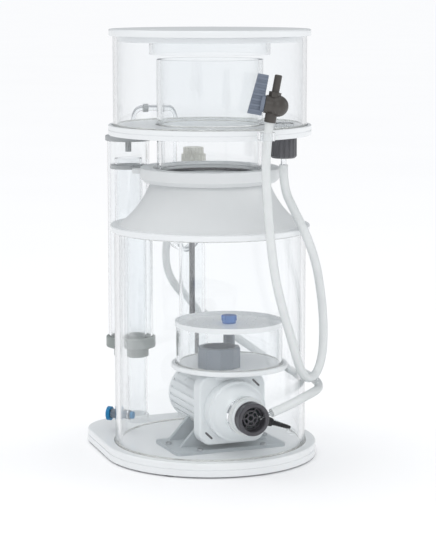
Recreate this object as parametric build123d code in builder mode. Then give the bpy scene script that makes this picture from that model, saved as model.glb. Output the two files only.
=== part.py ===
from build123d import *
from math import atan2
from math import cos
from math import degrees
from math import pi
from math import radians
from math import sin
from math import tan
import os

# A protein skimmer for aquariums. Millimetres, +Z up. The origin is on the body tube's axis at the
# underside of the feet. -Y is the front, where the pump's water inlet comes through the body wall.

os.makedirs("parts", exist_ok=True)

# ---------------------------------------------------------------- driving dimensions

# clearances
turn_gap = 0.3        # between pieces that turn or lift apart
glue_gap = 0.1        # radial, where a tube is glued into a bore
run_gap = 0.08        # radial, where a stem turns in its bore
thread_gap = 0.02     # radial, where a screw or seal fills its hole

# base
foot_r = 6
foot_h = 1.5
foot_inset = 8.5      # from the base's edge to a front foot's centre
front_foot_angle = 45
rear_foot_out = 10    # from a lobe's centre out to a rear foot's centre
rear_foot_back = 25
base_plate_t = 7
base_deck_t = 7
base_margin = 11.5    # the base stands out this far around the body tube
base_groove = 0.6     # chamfers that form the line between the two plates
deck_round = 1.6
lobe_r = 51.5         # rear corners of the base
lobe_x = 53.5
lobe_back = 34        # from a lobe's centre back to the silencer's axis
channel_r = 9         # the channel takes the water from the body to the outlet column
channel_depth = 4
intake_share = 0.7    # how far out towards the outlet column the channel starts

# clear tubes, outer diameters and walls
body_od = 200
body_wall = 5
body_h = 223
neck_od = 110
neck_wall = 4
neck_rise = 67        # the neck stands up this far inside the cup
neck_drop = 3         # and its foot is this far below the cone's top
cup_od = 200
cup_wall_t = 4
cup_h = 91
collar_gap = 4.5      # from the neck tube out to the lid's collar
collar_wall = 3
collar_h = 19

# body top
flange_rim = 4        # flange and lid stand out this far around their tubes
flange_t = 6
flange_w = 16
flange_round = 1.2
cone_h = 43.5
cone_inset = 9        # from the flange's edge in to the cone's foot
cone_foot_w = 5.5
cone_throat_h = 1     # the bore's flare ends this far below the cone's top
cone_wall = 3.4
cone_sag = 4.2        # how far the flare's arc bows in
spigot_h = 12.4       # upright collar on top of the cone

# locking ring
ring_lift = 1         # between the cone's top and the ring's underside
ring_h = 15
ring_w = 10.2
ring_lip_t = 3
ring_lip_gap = 5.4    # from the neck tube out to the ring's lip
ring_chamfer = 4
ring_round = 1.2
lug_len = 8
lug_root = 3          # a lug's length inside the ring
lug_w = 14
lug_t = 4.5
lug_drop = 2          # from the ring's top down to a lug's top
lug_corner = 2
lug_angle = 158
seal_r = 1.65
seal_drop = 4         # from the spigot's top down to the seal's centre

# cup
neck_show = 34        # the neck shows this far between the ring and the cup
floor_t = 5
floor_rim = 5
floor_edge = 0.5      # chamfers that form the line between the two floors
lid_t = 6.7
lid_round = 1.5
lid_lip_h = 6
lid_lip_t = 4

# silencer column, behind on the left
silencer_od = 45.5
silencer_wall = 2.5
silencer_angle = 112
silencer_rise = 85.5  # the silencer tube's top above the body tube's top
silencer_h = 220
silencer_gap = 0.45   # between the silencer tube and the body flange
pipe_od = 30
pipe_wall = 2
standpipe_drop = 19   # the inner pipe ends this far below the silencer tube's top
pipe_foot_w = 2
pipe_foot_h = 7.5
pipe_foot_chamfer = 1
silencer_collar_w = 2.75
silencer_collar_h = 12
silencer_collar_round = 1.5
silencer_neck_w = 2
silencer_neck_h = 10
spacer_drop = 11      # from the inner pipe's top down to the spacer
spacer_t = 4
spacer_vents = 4
cap_rim = 2.25
cap_t = 6
cap_round = 1.2
tail_od = 6.6
tail_h = 12

# arch pipe over the silencer
arch_od = 6.4
arch_wall = 1.1
arch_rise = 29        # from the cap up to the arch's level run
arch_bend = 12
arch_across = (44.25, -6.5)   # from the silencer's axis to the arch's other leg
arch_drop = 59
arch_joint_share = 0.355   # where the joint sleeve sits along the level run
arch_joint_len = 6
arch_joint_wall = 1.4

# outlet column, behind
outlet_angle = 78.1
outlet_gap = 2.3      # between the outlet pipe and the body tube
outlet_pipe_wall = 2.5
outlet_drop = 7.5     # from the body tube's top down to the outlet pipe's top
outlet_cap_t = 4
outlet_cap_rim = 1
outlet_plug_h = 3     # the cap's own plug inside the pipe
rod_od = 6.5
knob_rise = 61.5      # from the body tube's top up to the knob
knob_low_r = 15.5
knob_low_h = 7.5
knob_low_flutes = 20
knob_top_r = 13
knob_top_h = 7.5
knob_top_flutes = 18
knob_flute_r = 1.3
knob_flute_out = 0.5  # from the knob's rim out to a flute's centre
knob_chamfer = 0.7
plug_h = 32
plug_lift = 12.5      # the plug hangs this far above the deck
plug_slant = 0.75     # how far the plug's top falls for each millimetre across
plug_slant_drop = 11  # from the plug's top down to the slant's middle
rod_grip = 14         # the rod's length inside the plug
spout_drop = 26       # from the body tube's top down to the spout's axis
spout_od = 26
spout_wall = 2.5
spout_reach = 40      # from the column's axis to the spout's end
socket_bore = 25.2    # takes a 25 mm pipe
socket_depth = 16
socket_wall = 3

# pump
barrel_r = 31
barrel_wall = 3.5
barrel_back = 45
barrel_front = -45
barrel_round = 4
fin_count = 24
fin_groove = 2.4
fin_depth = 1.3
fin_front = 3         # the grooves start this far behind the casing
fin_back = 8          # and end this far before the barrel's back
casing_rim = 5        # the casing stands out this far around the barrel
casing_corner = 13
casing_t = 16
casing_web = 4        # the casing's wall behind the pumping chamber
casing_round = 2.5
casing_lift = 5       # between the casing and the bracket
casing_gap = 2        # radial, around the needle wheel's hub
slot_len = 11
slot_w = 2.2
slot_depth = 3
slot_reach = 36.5     # from the pump's axis to a slot's middle
volute_t = 14
volute_wall = 5
volute_web = 4
dome_len = 12
dome_shoulder = 3.5
dome_sag = 1.2
shoulder_sag = 0.8
inlet_neck_r = 17.5
inlet_bore_r = 13
inlet_r = 16.75
inlet_rim = 0.5       # the inlet ring's bore is this much tighter than the neck's
inlet_len = 11
inlet_out = 7         # the inlet ring starts this far outside the body wall
inlet_groove_at = 3.5
inlet_groove_w = 1.2
inlet_groove_depth = 0.8
inlet_chamfer = 0.8
strainer_t = 2.2
strainer_ring_w = 1.6
strainer_bar_w = 1.4
strainer_bars = 6
spoke_count = 3       # spokes that hold the front bush
spoke_w = 2
spoke_t = 4
grommet_w = 2.4
grommet_len = 8.5
grommet_out = 1       # the grommet shows this far outside the body wall
nozzle_od = 4.6
nozzle_bore = 2.6
nozzle_len = 14
nozzle_x = 21         # the nozzle's tip, beside the inlet ring
nozzle_in = 6
nozzle_up = 4.5
nozzle_run = (-23, -4.5, -5.5)   # the way the air flows through the nozzle
shaft_r = 2
shaft_front_in = 6    # the shaft's end stands this far in front of the volute's web
magnet_r = 15.4
magnet_front = -37.8
magnet_back = 10
magnet_chamfer = 0.8
rotor_gap = 0.6       # radial, between the magnet and the stator
stator_back = 18
stator_front_gap = 2
bush_w = 1.5
needle_gap = 3        # radial, between the needle wheel and its chamber
needle_plate_t = 2
needle_plate_in = 7   # from the casing's back face to the needle plate
needle_len = 12
needle_r = 1.1
needle_rings = ((10, 6), (15.5, 10), (20.8, 14))   # radius and number of needles
hub_r = 5
spigot_angle = 226.5  # from the chamber's middle to the outlet spigot
spigot_r = 13
spigot_bore_r = 10
spigot_rise = 12      # the spigot stands up this far above the chamber's disc
shoulder_w = 4
shoulder_gap = 0.4    # between the barrel and the shoulder that carries the spigot
duct_w = 12           # the duct from the pumping chamber up to the spigot
duct_h = 2.4
duct_floor = 1.2
duct_len = 7
duct_in = 7.5
duct_drop = 16

# pump bracket
bracket_w = 120
bracket_back = 6
bracket_t = 3.5
bracket_corner = 5
cheek_t = 5
cheek_foot_w = 96
cheek_top_w = 44
cheek_h = 28
cheek_inset = 6       # from the casing or the bracket's back edge to a cheek's face
beam_w = 36           # the low beam between the cheeks
beam_h = 9
screw_front_at = (35, -59)
screw_rear_at = (54, -20)
screw_r = 1.6
screw_head_r = 3.2
screw_head_h = 2.2
screw_head_round = 0.8
screw_cross = 3.6
screw_cross_w = 0.9
screw_cross_depth = 1.2
screw_len = 9

# bubble-plate chamber
chamber_at = (11, -25.5)
disc_gap = 1.5        # between the pump casing and the disc
disc_rim = 5
disc_t = 5
disc_round = 1.2
chamber_od = 110
chamber_wall_t = 3
chamber_h = 38.5
plate_rim = 1
plate_t = 2
plate_lip_h = 3.5
plate_lip_w = 2.5
post_r = 6
stud_r = 2.5
stud_len = 10
stud_room = 1
thumb_r = 8
thumb_foot_r = 7
thumb_foot_h = 2.7
thumb_h = 5.5
thumb_round = 0.8
thumb_flutes = 6
thumb_flute_r = 2.4
thumb_flute_out = 1.2
perforation_r = 1.1
perforation_start = 18
perforation_step = 9
perforation_pitch = 10.2
nut_w = 9             # from the spigot out to the nut's corners
nut_h = 21
nut_sides = 10
nut_chamfer = 1
nut_mouth_w = 3.5
nut_mouth_depth = 8
nut_gap = 0.9         # between the union nut and the post

# body drain
drain_angle = 138
drain_z = 34
stub_r = 5
stub_len = 19.7
stub_in = 2           # the stub reaches this far inside the body wall
drain_stem_r = 2.3
drain_knob_r = 7.5
drain_knob_t = 4
drain_knob_flutes = 14
drain_knob_flute_r = 0.9
drain_knob_flute_out = 0.4
drain_end_r = 4
drain_end_t = 3.7

# pump cable gland
gland_r = 4.5
gland_gap = 1.6       # between the gland and the inlet's grommet
gland_drop = 8        # the gland's axis is this far below the pump's
gland_len = 10
gland_in = 1          # the gland reaches this far inside the body wall
boot_r = 2.6
boot_len = 22
boot_taper = 2.4
boot_out = 2
boot_run = (0.93, -0.22, -0.3)   # the way the boot points

# cup drain
cup_drain_angle = -45.69
cup_drain_inset = 14  # from the cup's wall in to the drain's axis
drain_head_r = 9
drain_head_h = 4
drain_head_round = 1.5
drain_shank_r = 8
drain_shank_gap = 0.5 # between the shank's end and the nut's web
drain_bore_r = 2
drain_nut_w = 5.5     # from the shank out to the nut's rim
drain_nut_h = 21.7
drain_nut_web = 2.5
drain_nut_chamfer = 2
drain_nut_flutes = 16
drain_nut_flute_r = 1.3
drain_nut_flute_out = 0.4
barb_r = 3
barb_show = 7         # the barb shows this far under the nut

# hoses
hose_od = 9
clip_wall = 2
clip_h = 8
clip_slack = 0.9
clip_arm_w = 7

# drain tap
tap_at = (17.9, -120.5, 374)
tap_lean = 10.5       # the tap leans to the right by this many degrees
view_turn = -22       # and its lever side faces this far round from the front
ball_r = 10.5
ball_offset = -4.8
barrel_tap_r = 9
barrel_tap_len = 8
spigot_low_r = 5.8
spigot_low_end = -17
spigot_low_h = 9
tap_waist_r = 4.8
tap_hex_r = 6.1
tap_hex_h = 5
tap_collar_top = 13
tap_barb_r = 3.7
tap_barb_top = 30
tap_barb_chamfer = 0.8
tap_bore_r = 2.2
key_r = 6
key_depth = 10
key_end_gap = 1
lever_hub_r = 8.5
lever_hub_t = 4
lever_w = 12.6
lever_up = 28
lever_down = 12
lever_t = 6
lever_corner = 1.5
lever_step = 1        # from the hub's back to the lever's back
lever_rib_t = 1
lever_rib_step = 0.6
lever_ribs = 7
lever_rib_share = 0.5 # of each rib's pitch that stands proud

# ---------------------------------------------------------------- sizes that follow

plate_z = foot_h
deck_z = plate_z + base_plate_t
deck_top = deck_z + base_deck_t
body_r = body_od / 2
body_in_r = body_r - body_wall
base_r = body_r + base_margin
body_top = deck_top + body_h
flange_r = body_r + flange_rim
flange_top = body_top + flange_t
cone_foot_r = flange_r - cone_inset
neck_r = neck_od / 2
cone_top = flange_top + cone_h
neck_bottom = cone_top - neck_drop
spigot_in_r = neck_r + turn_gap + 2 * seal_r
spigot_out_r = spigot_in_r + cone_wall
spigot_head = cone_top + spigot_h
ring_bottom = cone_top + ring_lift
ring_in_r = spigot_out_r + turn_gap
ring_out_r = ring_in_r + ring_w
ring_lip_r = neck_r + ring_lip_gap
ring_top = ring_bottom + ring_h
floor_z = ring_top + neck_show
floor_mid = floor_z + floor_t
floor_top = floor_mid + floor_t
neck_h = floor_top + neck_rise - neck_bottom
cup_r = cup_od / 2
cup_in_r = cup_r - cup_wall_t
floor_r = cup_r + floor_rim
cup_top = floor_top + cup_h
lid_z = cup_top + turn_gap
lid_r = cup_r + flange_rim
lid_lip_r = cup_in_r - 2 * turn_gap
collar_in_r = neck_r + collar_gap

silencer_r = silencer_od / 2
silencer_in_r = silencer_r - silencer_wall
silencer_reach = flange_r + silencer_gap + silencer_r
silencer_x = silencer_reach * cos(radians(silencer_angle))
silencer_y = silencer_reach * sin(radians(silencer_angle))
silencer_at = (silencer_x, silencer_y)
silencer_top = body_top + silencer_rise
silencer_bottom = silencer_top - silencer_h
silencer_collar_z = silencer_bottom - silencer_collar_h / 2
standpipe_top = silencer_top - standpipe_drop
spacer_z = standpipe_top - spacer_drop
pipe_r = pipe_od / 2
spacer_vent_r = (silencer_in_r - pipe_r) / 2
cap_top = silencer_top + cap_t
arch_top = cap_top + arch_rise

outlet_reach = body_r + outlet_gap + pipe_r
outlet_x = outlet_reach * cos(radians(outlet_angle))
outlet_y = outlet_reach * sin(radians(outlet_angle))
outlet_at = (outlet_x, outlet_y)
outlet_top = body_top - outlet_drop
outlet_bore_r = pipe_r - outlet_pipe_wall
intake_at = (outlet_x * intake_share, outlet_y * intake_share)
spout_z = body_top - spout_drop
rod_r = rod_od / 2
knob_z = body_top + knob_rise
plug_z = deck_top + plug_lift
rod_bottom = plug_z + plug_h - rod_grip

bracket_top = deck_top + bracket_t
casing_w = 2 * (barrel_r + casing_rim)
pump_z = bracket_top + casing_lift + casing_w / 2
casing_front = barrel_front - casing_t
bracket_front = casing_front
volute_r = barrel_r
volute_front = casing_front - volute_t
pumping_r = volute_r - volute_wall
inlet_y = -body_r - inlet_out
gland_x = inlet_neck_r + grommet_w + gland_gap + gland_r
gland_angle = degrees(atan2(gland_x, body_r)) - 90
gland_z = pump_z - gland_drop
nozzle_tip = Vector(nozzle_x, inlet_y - nozzle_in, pump_z + nozzle_up)
nozzle_end = nozzle_tip + Vector(nozzle_run).normalized() * nozzle_len
stator_bore_r = magnet_r + rotor_gap
bush_out_r = shaft_r + bush_w
spoke_y = volute_front - spoke_t / 2
back_web_t = stator_back - magnet_back - stator_front_gap
shaft_front = volute_front - shaft_front_in
needle_plate_r = pumping_r - needle_gap
needle_plate_y = barrel_front - needle_plate_in
disc_z = pump_z + casing_w / 2 + disc_gap
disc_top = disc_z + disc_t
chamber_out_r = chamber_od / 2
disc_r = chamber_out_r + disc_rim
plate_r = chamber_out_r + plate_rim
plate_low = disc_top + chamber_h
plate_top = plate_low + plate_t
nut_r = spigot_r + nut_w
nut_low = disc_top + turn_gap
spigot_reach = nut_r + nut_gap + post_r
spigot_x = chamber_at[0] + spigot_reach * cos(radians(spigot_angle))
spigot_y = chamber_at[1] + spigot_reach * sin(radians(spigot_angle))
spigot_at = (spigot_x, spigot_y)
spigot_top = disc_top + spigot_rise
shoulder_low = pump_z + barrel_r + shoulder_gap
duct_z = shoulder_low + duct_floor
duct_y = casing_front + duct_in

cup_drain_reach = cup_in_r - cup_drain_inset
cup_drain_x = cup_drain_reach * cos(radians(cup_drain_angle))
cup_drain_y = cup_drain_reach * sin(radians(cup_drain_angle))
cup_drain_at = (cup_drain_x, cup_drain_y)
drain_nut_r = drain_shank_r + drain_nut_w
drain_nut_top = floor_z - turn_gap
drain_nut_low = drain_nut_top - drain_nut_h
barb_end = drain_nut_low - barb_show

lobe_y = silencer_y - lobe_back
lobes_at = [(-lobe_x, lobe_y), (lobe_x, lobe_y)]
front_foot_x = (base_r - foot_inset) * sin(radians(front_foot_angle))
front_foot_y = -(base_r - foot_inset) * cos(radians(front_foot_angle))
rear_foot_x = lobe_x + rear_foot_out
feet_at = [(0, 0)]
screws_at = []
for side in (-1, 1):
    feet_at.append((side * front_foot_x, front_foot_y))
    feet_at.append((side * rear_foot_x, lobe_y + rear_foot_back))
    screws_at.append((side * screw_front_at[0], screw_front_at[1]))
    screws_at.append((side * screw_rear_at[0], screw_rear_at[1]))

# Where each hose's middle line runs, from the end that is fixed to the far end. Chosen by hand.
drain_route = [
    (57.3, -58.7, 309),
    (57.3, -58.7, 285.5),
    (62.0, -74.5, 264),
    (68.5, -91.5, 240),
    (82.5, -84.0, 211),
    (96.0, -65.5, 184),
    (106.5, -50.5, 157),
    (109.5, -47.5, 129.5),
    (106.5, -50.5, 103.5),
    (92.5, -64.0, 87.5),
    (73.0, -81.5, 89),
    (59.5, -93.0, 108),
    (48.0, -99.5, 138),
    (36.5, -106.5, 165),
    (25.0, -112.0, 200),
    (17.5, -115.5, 243),
    (12.8, -117.5, 290),
    (11.4, -117.6, 326),
    (15.0, -119.1, 357),
]
air_route = [
    (-3.4, 111.4, 300),
    (-3.4, 111.4, 264),
    (-6.5, 115.0, 220),
    (-5.0, 127.0, 187),
    (10.0, 139.0, 160),
    (38.0, 138.5, 133),
    (66.0, 112.0, 109),
    (90.0, 77.0, 92),
    (107.0, 41.0, 80),
    (114.5, 4.0, 75),
    (110.5, -33.0, 74),
    (96.0, -66.0, 74),
    (70.5, -91.0, 74),
    (44.0, -108.5, 70),
    (21.0, -113.0, 64.5),
]


def annulus(outer, inner, at=(0, 0)):
    """Draw a flat ring in the sketch that is open."""
    with Locations(at):
        Circle(outer)
        Circle(inner, mode=Mode.SUBTRACT)


def pump_plane(y):
    """A plane across the pump's axis at one station, facing the front."""
    return Plane(origin=(0, y, pump_z), x_dir=(1, 0, 0), z_dir=(0, -1, 0))


def wall_plane(angle, height):
    """A plane through the body's axis that faces out of the wall at one angle."""
    outward = (cos(radians(angle)), sin(radians(angle)), 0)
    sideways = (-sin(radians(angle)), cos(radians(angle)), 0)
    return Plane(origin=(0, 0, height), x_dir=sideways, z_dir=outward)


def corner_radii(route):
    """The largest arc for each corner of a hose that its two runs leave room for."""
    radii = []
    for before, corner, after in zip(route, route[1:], route[2:]):
        run_in = Vector(corner) - Vector(before)
        run_out = Vector(after) - Vector(corner)
        half_turn = radians(run_in.get_angle(run_out) / 2)
        radii.append(0.45 * min(run_in.length, run_out.length) / tan(half_turn))
    return radii


def report_hose(name, part, path, radii):
    """Print a hose's arc radii, and its volume beside section times length."""
    section = pi * (hose_od / 2) ** 2
    print(name, "radii", [round(radius, 1) for radius in radii])
    share = part.volume / (section * path.length)
    print(name, "length", round(path.length, 1), "volume / (section x length)", round(share, 4))


# ---------------------------------------------------------------- base

with BuildSketch() as base_outline:
    Circle(base_r)
    with Locations(*lobes_at):
        Circle(lobe_r)
    make_hull()

with BuildPart() as base_feet:
    with BuildSketch():
        with Locations(*feet_at):
            Circle(foot_r)
    extrude(amount=foot_h)
base_feet.part.label = "base_feet"
export_step(base_feet.part, "parts/base_feet.step")

# The lower plate has a channel that takes the water from the body to the outlet column.
with BuildPart() as base_plate:
    with BuildSketch(Plane.XY.offset(plate_z)):
        add(base_outline.sketch)
    extrude(amount=base_plate_t)
    chamfer(base_plate.faces().sort_by(Axis.Z)[-1].edges(), base_groove)
    chamfer(base_plate.faces().sort_by(Axis.Z)[0].edges(), base_groove)
    with BuildSketch(Plane.XY.offset(deck_z)):
        Circle(channel_r)
        with Locations(intake_at, outlet_at):
            Circle(channel_r)
        make_hull()
    extrude(amount=-channel_depth, mode=Mode.SUBTRACT)
base_plate.part.label = "base_plate"
export_step(base_plate.part, "parts/base_plate.step")

with BuildPart() as base_deck:
    with BuildSketch(Plane.XY.offset(deck_z)):
        add(base_outline.sketch)
    extrude(amount=base_deck_t)
    fillet(base_deck.faces().sort_by(Axis.Z)[-1].edges(), deck_round)
    chamfer(base_deck.faces().sort_by(Axis.Z)[0].edges(), base_groove)
    with BuildSketch(Plane.XY.offset(deck_top)):
        with Locations(intake_at, outlet_at):
            Circle(channel_r)
    extrude(amount=-base_deck_t, mode=Mode.SUBTRACT)
    with BuildSketch(Plane.XY.offset(deck_top)):
        with Locations(*screws_at):
            Circle(screw_r + thread_gap)
    extrude(amount=-(screw_len - bracket_t), mode=Mode.SUBTRACT)
base_deck.part.label = "base_deck"
export_step(base_deck.part, "parts/base_deck.step")

with BuildPart() as pipe_feet:
    with BuildSketch(Plane.XY.offset(deck_top)):
        annulus(pipe_r + pipe_foot_w, pipe_r + glue_gap, silencer_at)
        annulus(pipe_r + pipe_foot_w, pipe_r + glue_gap, outlet_at)
    extrude(amount=pipe_foot_h)
    foot_rims = pipe_feet.faces().group_by(Axis.Z)[-1].edges().filter_by(GeomType.CIRCLE)
    chamfer(foot_rims.group_by(SortBy.RADIUS)[-1], pipe_foot_chamfer)
pipe_feet.part.label = "pipe_feet"
export_step(pipe_feet.part, "parts/pipe_feet.step")

# ---------------------------------------------------------------- body

with BuildPart() as body_tube:
    with BuildSketch(Plane.XY.offset(deck_top)):
        annulus(body_r, body_in_r)
    extrude(amount=body_h)
    with BuildSketch(pump_plane(0)):
        Circle(inlet_neck_r + grommet_w)
    extrude(amount=base_r, mode=Mode.SUBTRACT)
    with BuildSketch(wall_plane(drain_angle, drain_z)):
        Circle(stub_r + glue_gap)
    extrude(amount=base_r, mode=Mode.SUBTRACT)
    with BuildSketch(wall_plane(gland_angle, gland_z)):
        Circle(gland_r + glue_gap)
    extrude(amount=base_r, mode=Mode.SUBTRACT)
body_tube.part.label = "body_tube"
export_step(body_tube.part, "parts/body_tube.step")

with BuildPart() as body_flange:
    with BuildSketch(Plane.XY.offset(body_top)):
        annulus(flange_r, flange_r - flange_w)
    extrude(amount=flange_t)
    fillet(body_flange.edges().filter_by(GeomType.CIRCLE).group_by(SortBy.RADIUS)[-1], flange_round)
body_flange.part.label = "body_flange"
export_step(body_flange.part, "parts/body_flange.step")

throat_at = (spigot_in_r, cone_top - cone_throat_h)
with BuildPart() as body_cone:
    with BuildSketch(Plane.XZ):
        with BuildLine():
            SagittaArc((cone_foot_r, flange_top), (spigot_out_r, cone_top), cone_sag)
            Polyline(
                (spigot_out_r, cone_top),
                (spigot_out_r, spigot_head),
                (spigot_in_r, spigot_head),
                throat_at,
            )
            SagittaArc(throat_at, (cone_foot_r - cone_foot_w, flange_top), -cone_sag)
            Line((cone_foot_r - cone_foot_w, flange_top), (cone_foot_r, flange_top))
        make_face()
    revolve(axis=Axis.Z)
body_cone.part.label = "body_cone"
export_step(body_cone.part, "parts/body_cone.step")

with BuildPart() as neck_seal:
    with BuildSketch(Plane.XZ):
        with Locations((spigot_in_r - seal_r, spigot_head - seal_drop)):
            Circle(seal_r - thread_gap)
    revolve(axis=Axis.Z)
neck_seal.part.label = "neck_seal"
export_step(neck_seal.part, "parts/neck_seal.step")

# ---------------------------------------------------------------- locking ring

with BuildPart() as locking_ring:
    with BuildSketch(Plane.XZ):
        Polygon(
            (ring_in_r, ring_bottom),
            (ring_out_r - ring_chamfer, ring_bottom),
            (ring_out_r, ring_bottom + ring_chamfer),
            (ring_out_r, ring_top),
            (ring_lip_r, ring_top),
            (ring_lip_r, ring_top - ring_lip_t),
            (ring_in_r, ring_top - ring_lip_t),
            align=None,
        )
    revolve(axis=Axis.Z)
    top_rims = locking_ring.edges().filter_by(GeomType.CIRCLE).group_by(Axis.Z)[-1]
    fillet(top_rims.group_by(SortBy.RADIUS)[-1], ring_round)
    with BuildSketch(Plane.XY.offset(ring_top - lug_drop - lug_t)):
        with PolarLocations(ring_out_r + (lug_len - lug_root) / 2, 2, start_angle=lug_angle):
            RectangleRounded(lug_len + lug_root, lug_w, lug_corner)
    extrude(amount=lug_t)
locking_ring.part.label = "locking_ring"
export_step(locking_ring.part, "parts/locking_ring.step")

# ---------------------------------------------------------------- cup

with BuildPart() as neck_tube:
    with BuildSketch(Plane.XY.offset(neck_bottom)):
        annulus(neck_r, neck_r - neck_wall)
    extrude(amount=neck_h)
neck_tube.part.label = "neck_tube"
export_step(neck_tube.part, "parts/neck_tube.step")

with BuildPart() as cup_floor_lower:
    with BuildSketch(Plane.XY.offset(floor_z)):
        annulus(floor_r, neck_r + glue_gap)
        with Locations(cup_drain_at):
            Circle(drain_shank_r + glue_gap, mode=Mode.SUBTRACT)
    extrude(amount=floor_t)
    chamfer(cup_floor_lower.edges().filter_by(GeomType.CIRCLE).group_by(SortBy.RADIUS)[-1], floor_edge)
cup_floor_lower.part.label = "cup_floor_lower"
export_step(cup_floor_lower.part, "parts/cup_floor_lower.step")

with BuildPart() as cup_floor_upper:
    with BuildSketch(Plane.XY.offset(floor_mid)):
        annulus(floor_r, neck_r + glue_gap)
        with Locations(cup_drain_at):
            Circle(drain_shank_r + glue_gap, mode=Mode.SUBTRACT)
    extrude(amount=floor_t)
    chamfer(cup_floor_upper.edges().filter_by(GeomType.CIRCLE).group_by(SortBy.RADIUS)[-1], floor_edge)
cup_floor_upper.part.label = "cup_floor_upper"
export_step(cup_floor_upper.part, "parts/cup_floor_upper.step")

with BuildPart() as cup_wall:
    with BuildSketch(Plane.XY.offset(floor_top)):
        annulus(cup_r, cup_in_r)
    extrude(amount=cup_h)
cup_wall.part.label = "cup_wall"
export_step(cup_wall.part, "parts/cup_wall.step")

with BuildPart() as cup_drain_fitting:
    with BuildSketch(Plane.XY.offset(floor_top)):
        with Locations(cup_drain_at):
            Circle(drain_head_r)
    extrude(amount=drain_head_h)
    fillet(cup_drain_fitting.faces().sort_by(Axis.Z)[-1].edges(), drain_head_round)
    with BuildSketch(Plane.XY.offset(floor_top)):
        with Locations(cup_drain_at):
            Circle(drain_shank_r)
    extrude(amount=-(floor_top - drain_nut_low - drain_nut_web - drain_shank_gap))
    with BuildSketch(Plane.XY.offset(floor_top)):
        with Locations(cup_drain_at):
            Circle(barb_r)
    extrude(amount=-(floor_top - barb_end))
    with BuildSketch(Plane.XY.offset(floor_top + drain_head_h)):
        with Locations(cup_drain_at):
            Circle(drain_bore_r)
    extrude(amount=-(floor_top + drain_head_h - barb_end), mode=Mode.SUBTRACT)
cup_drain_fitting.part.label = "cup_drain_fitting"
export_step(cup_drain_fitting.part, "parts/cup_drain_fitting.step")

with BuildPart() as cup_drain_nut:
    with BuildSketch(Plane.XY.offset(drain_nut_low)):
        with Locations(cup_drain_at):
            Circle(drain_nut_r)
    extrude(amount=drain_nut_h)
    chamfer(cup_drain_nut.faces().sort_by(Axis.Z)[0].edges(), drain_nut_chamfer)
    with BuildSketch(Plane.XY.offset(drain_nut_low)):
        with Locations(cup_drain_at):
            with PolarLocations(drain_nut_r + drain_nut_flute_out, drain_nut_flutes):
                Circle(drain_nut_flute_r)
    extrude(amount=drain_nut_h, mode=Mode.SUBTRACT)
    with BuildSketch(Plane.XY.offset(drain_nut_top)):
        with Locations(cup_drain_at):
            Circle(drain_shank_r + turn_gap)
    extrude(amount=-(drain_nut_h - drain_nut_web), mode=Mode.SUBTRACT)
    with BuildSketch(Plane.XY.offset(drain_nut_low)):
        with Locations(cup_drain_at):
            Circle(barb_r + turn_gap)
    extrude(amount=drain_nut_web, mode=Mode.SUBTRACT)
cup_drain_nut.part.label = "cup_drain_nut"
export_step(cup_drain_nut.part, "parts/cup_drain_nut.step")

# ---------------------------------------------------------------- lid

with BuildPart() as lid_plate:
    with BuildSketch(Plane.XY.offset(lid_z)):
        Circle(lid_r)
    extrude(amount=lid_t)
    fillet(lid_plate.faces().sort_by(Axis.Z)[-1].edges(), lid_round)
    with BuildSketch(Plane.XY.offset(lid_z)):
        annulus(lid_lip_r, lid_lip_r - lid_lip_t)
    extrude(amount=-lid_lip_h)
lid_plate.part.label = "lid_plate"
export_step(lid_plate.part, "parts/lid_plate.step")

with BuildPart() as lid_collar:
    with BuildSketch(Plane.XY.offset(lid_z)):
        annulus(collar_in_r + collar_wall, collar_in_r)
    extrude(amount=-collar_h)
lid_collar.part.label = "lid_collar"
export_step(lid_collar.part, "parts/lid_collar.step")

# ---------------------------------------------------------------- silencer column

with BuildPart() as silencer_pipe:
    with BuildSketch(Plane.XY.offset(deck_top)):
        annulus(pipe_r, pipe_r - pipe_wall, silencer_at)
    extrude(amount=standpipe_top - deck_top)
silencer_pipe.part.label = "silencer_pipe"
export_step(silencer_pipe.part, "parts/silencer_pipe.step")

with BuildPart() as silencer_tube:
    with BuildSketch(Plane.XY.offset(silencer_bottom)):
        annulus(silencer_r, silencer_in_r, silencer_at)
    extrude(amount=silencer_top - silencer_bottom)
silencer_tube.part.label = "silencer_tube"
export_step(silencer_tube.part, "parts/silencer_tube.step")

# The collar closes the outer tube's foot around the inner pipe.
with BuildPart() as silencer_collar:
    with BuildSketch(Plane.XY.offset(silencer_collar_z)):
        annulus(silencer_r + silencer_collar_w, pipe_r + glue_gap, silencer_at)
    extrude(amount=silencer_collar_h)
    collar_rims = silencer_collar.edges().filter_by(GeomType.CIRCLE).group_by(SortBy.RADIUS)[-1]
    fillet(collar_rims, silencer_collar_round)
    with BuildSketch(Plane.XY.offset(silencer_collar_z)):
        annulus(pipe_r + silencer_neck_w, pipe_r + glue_gap, silencer_at)
    extrude(amount=-silencer_neck_h)
    with BuildSketch(Plane.XY.offset(silencer_bottom)):
        with Locations(silencer_at):
            Circle(silencer_r + glue_gap)
    extrude(amount=silencer_collar_h, mode=Mode.SUBTRACT)
silencer_collar.part.label = "silencer_collar"
export_step(silencer_collar.part, "parts/silencer_collar.step")

with BuildPart() as silencer_spacer:
    with BuildSketch(Plane.XY.offset(spacer_z)):
        annulus(silencer_in_r - glue_gap, pipe_r + glue_gap, silencer_at)
        with Locations(silencer_at):
            with PolarLocations(silencer_in_r, spacer_vents):
                Circle(spacer_vent_r, mode=Mode.SUBTRACT)
    extrude(amount=spacer_t)
silencer_spacer.part.label = "silencer_spacer"
export_step(silencer_spacer.part, "parts/silencer_spacer.step")

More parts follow.
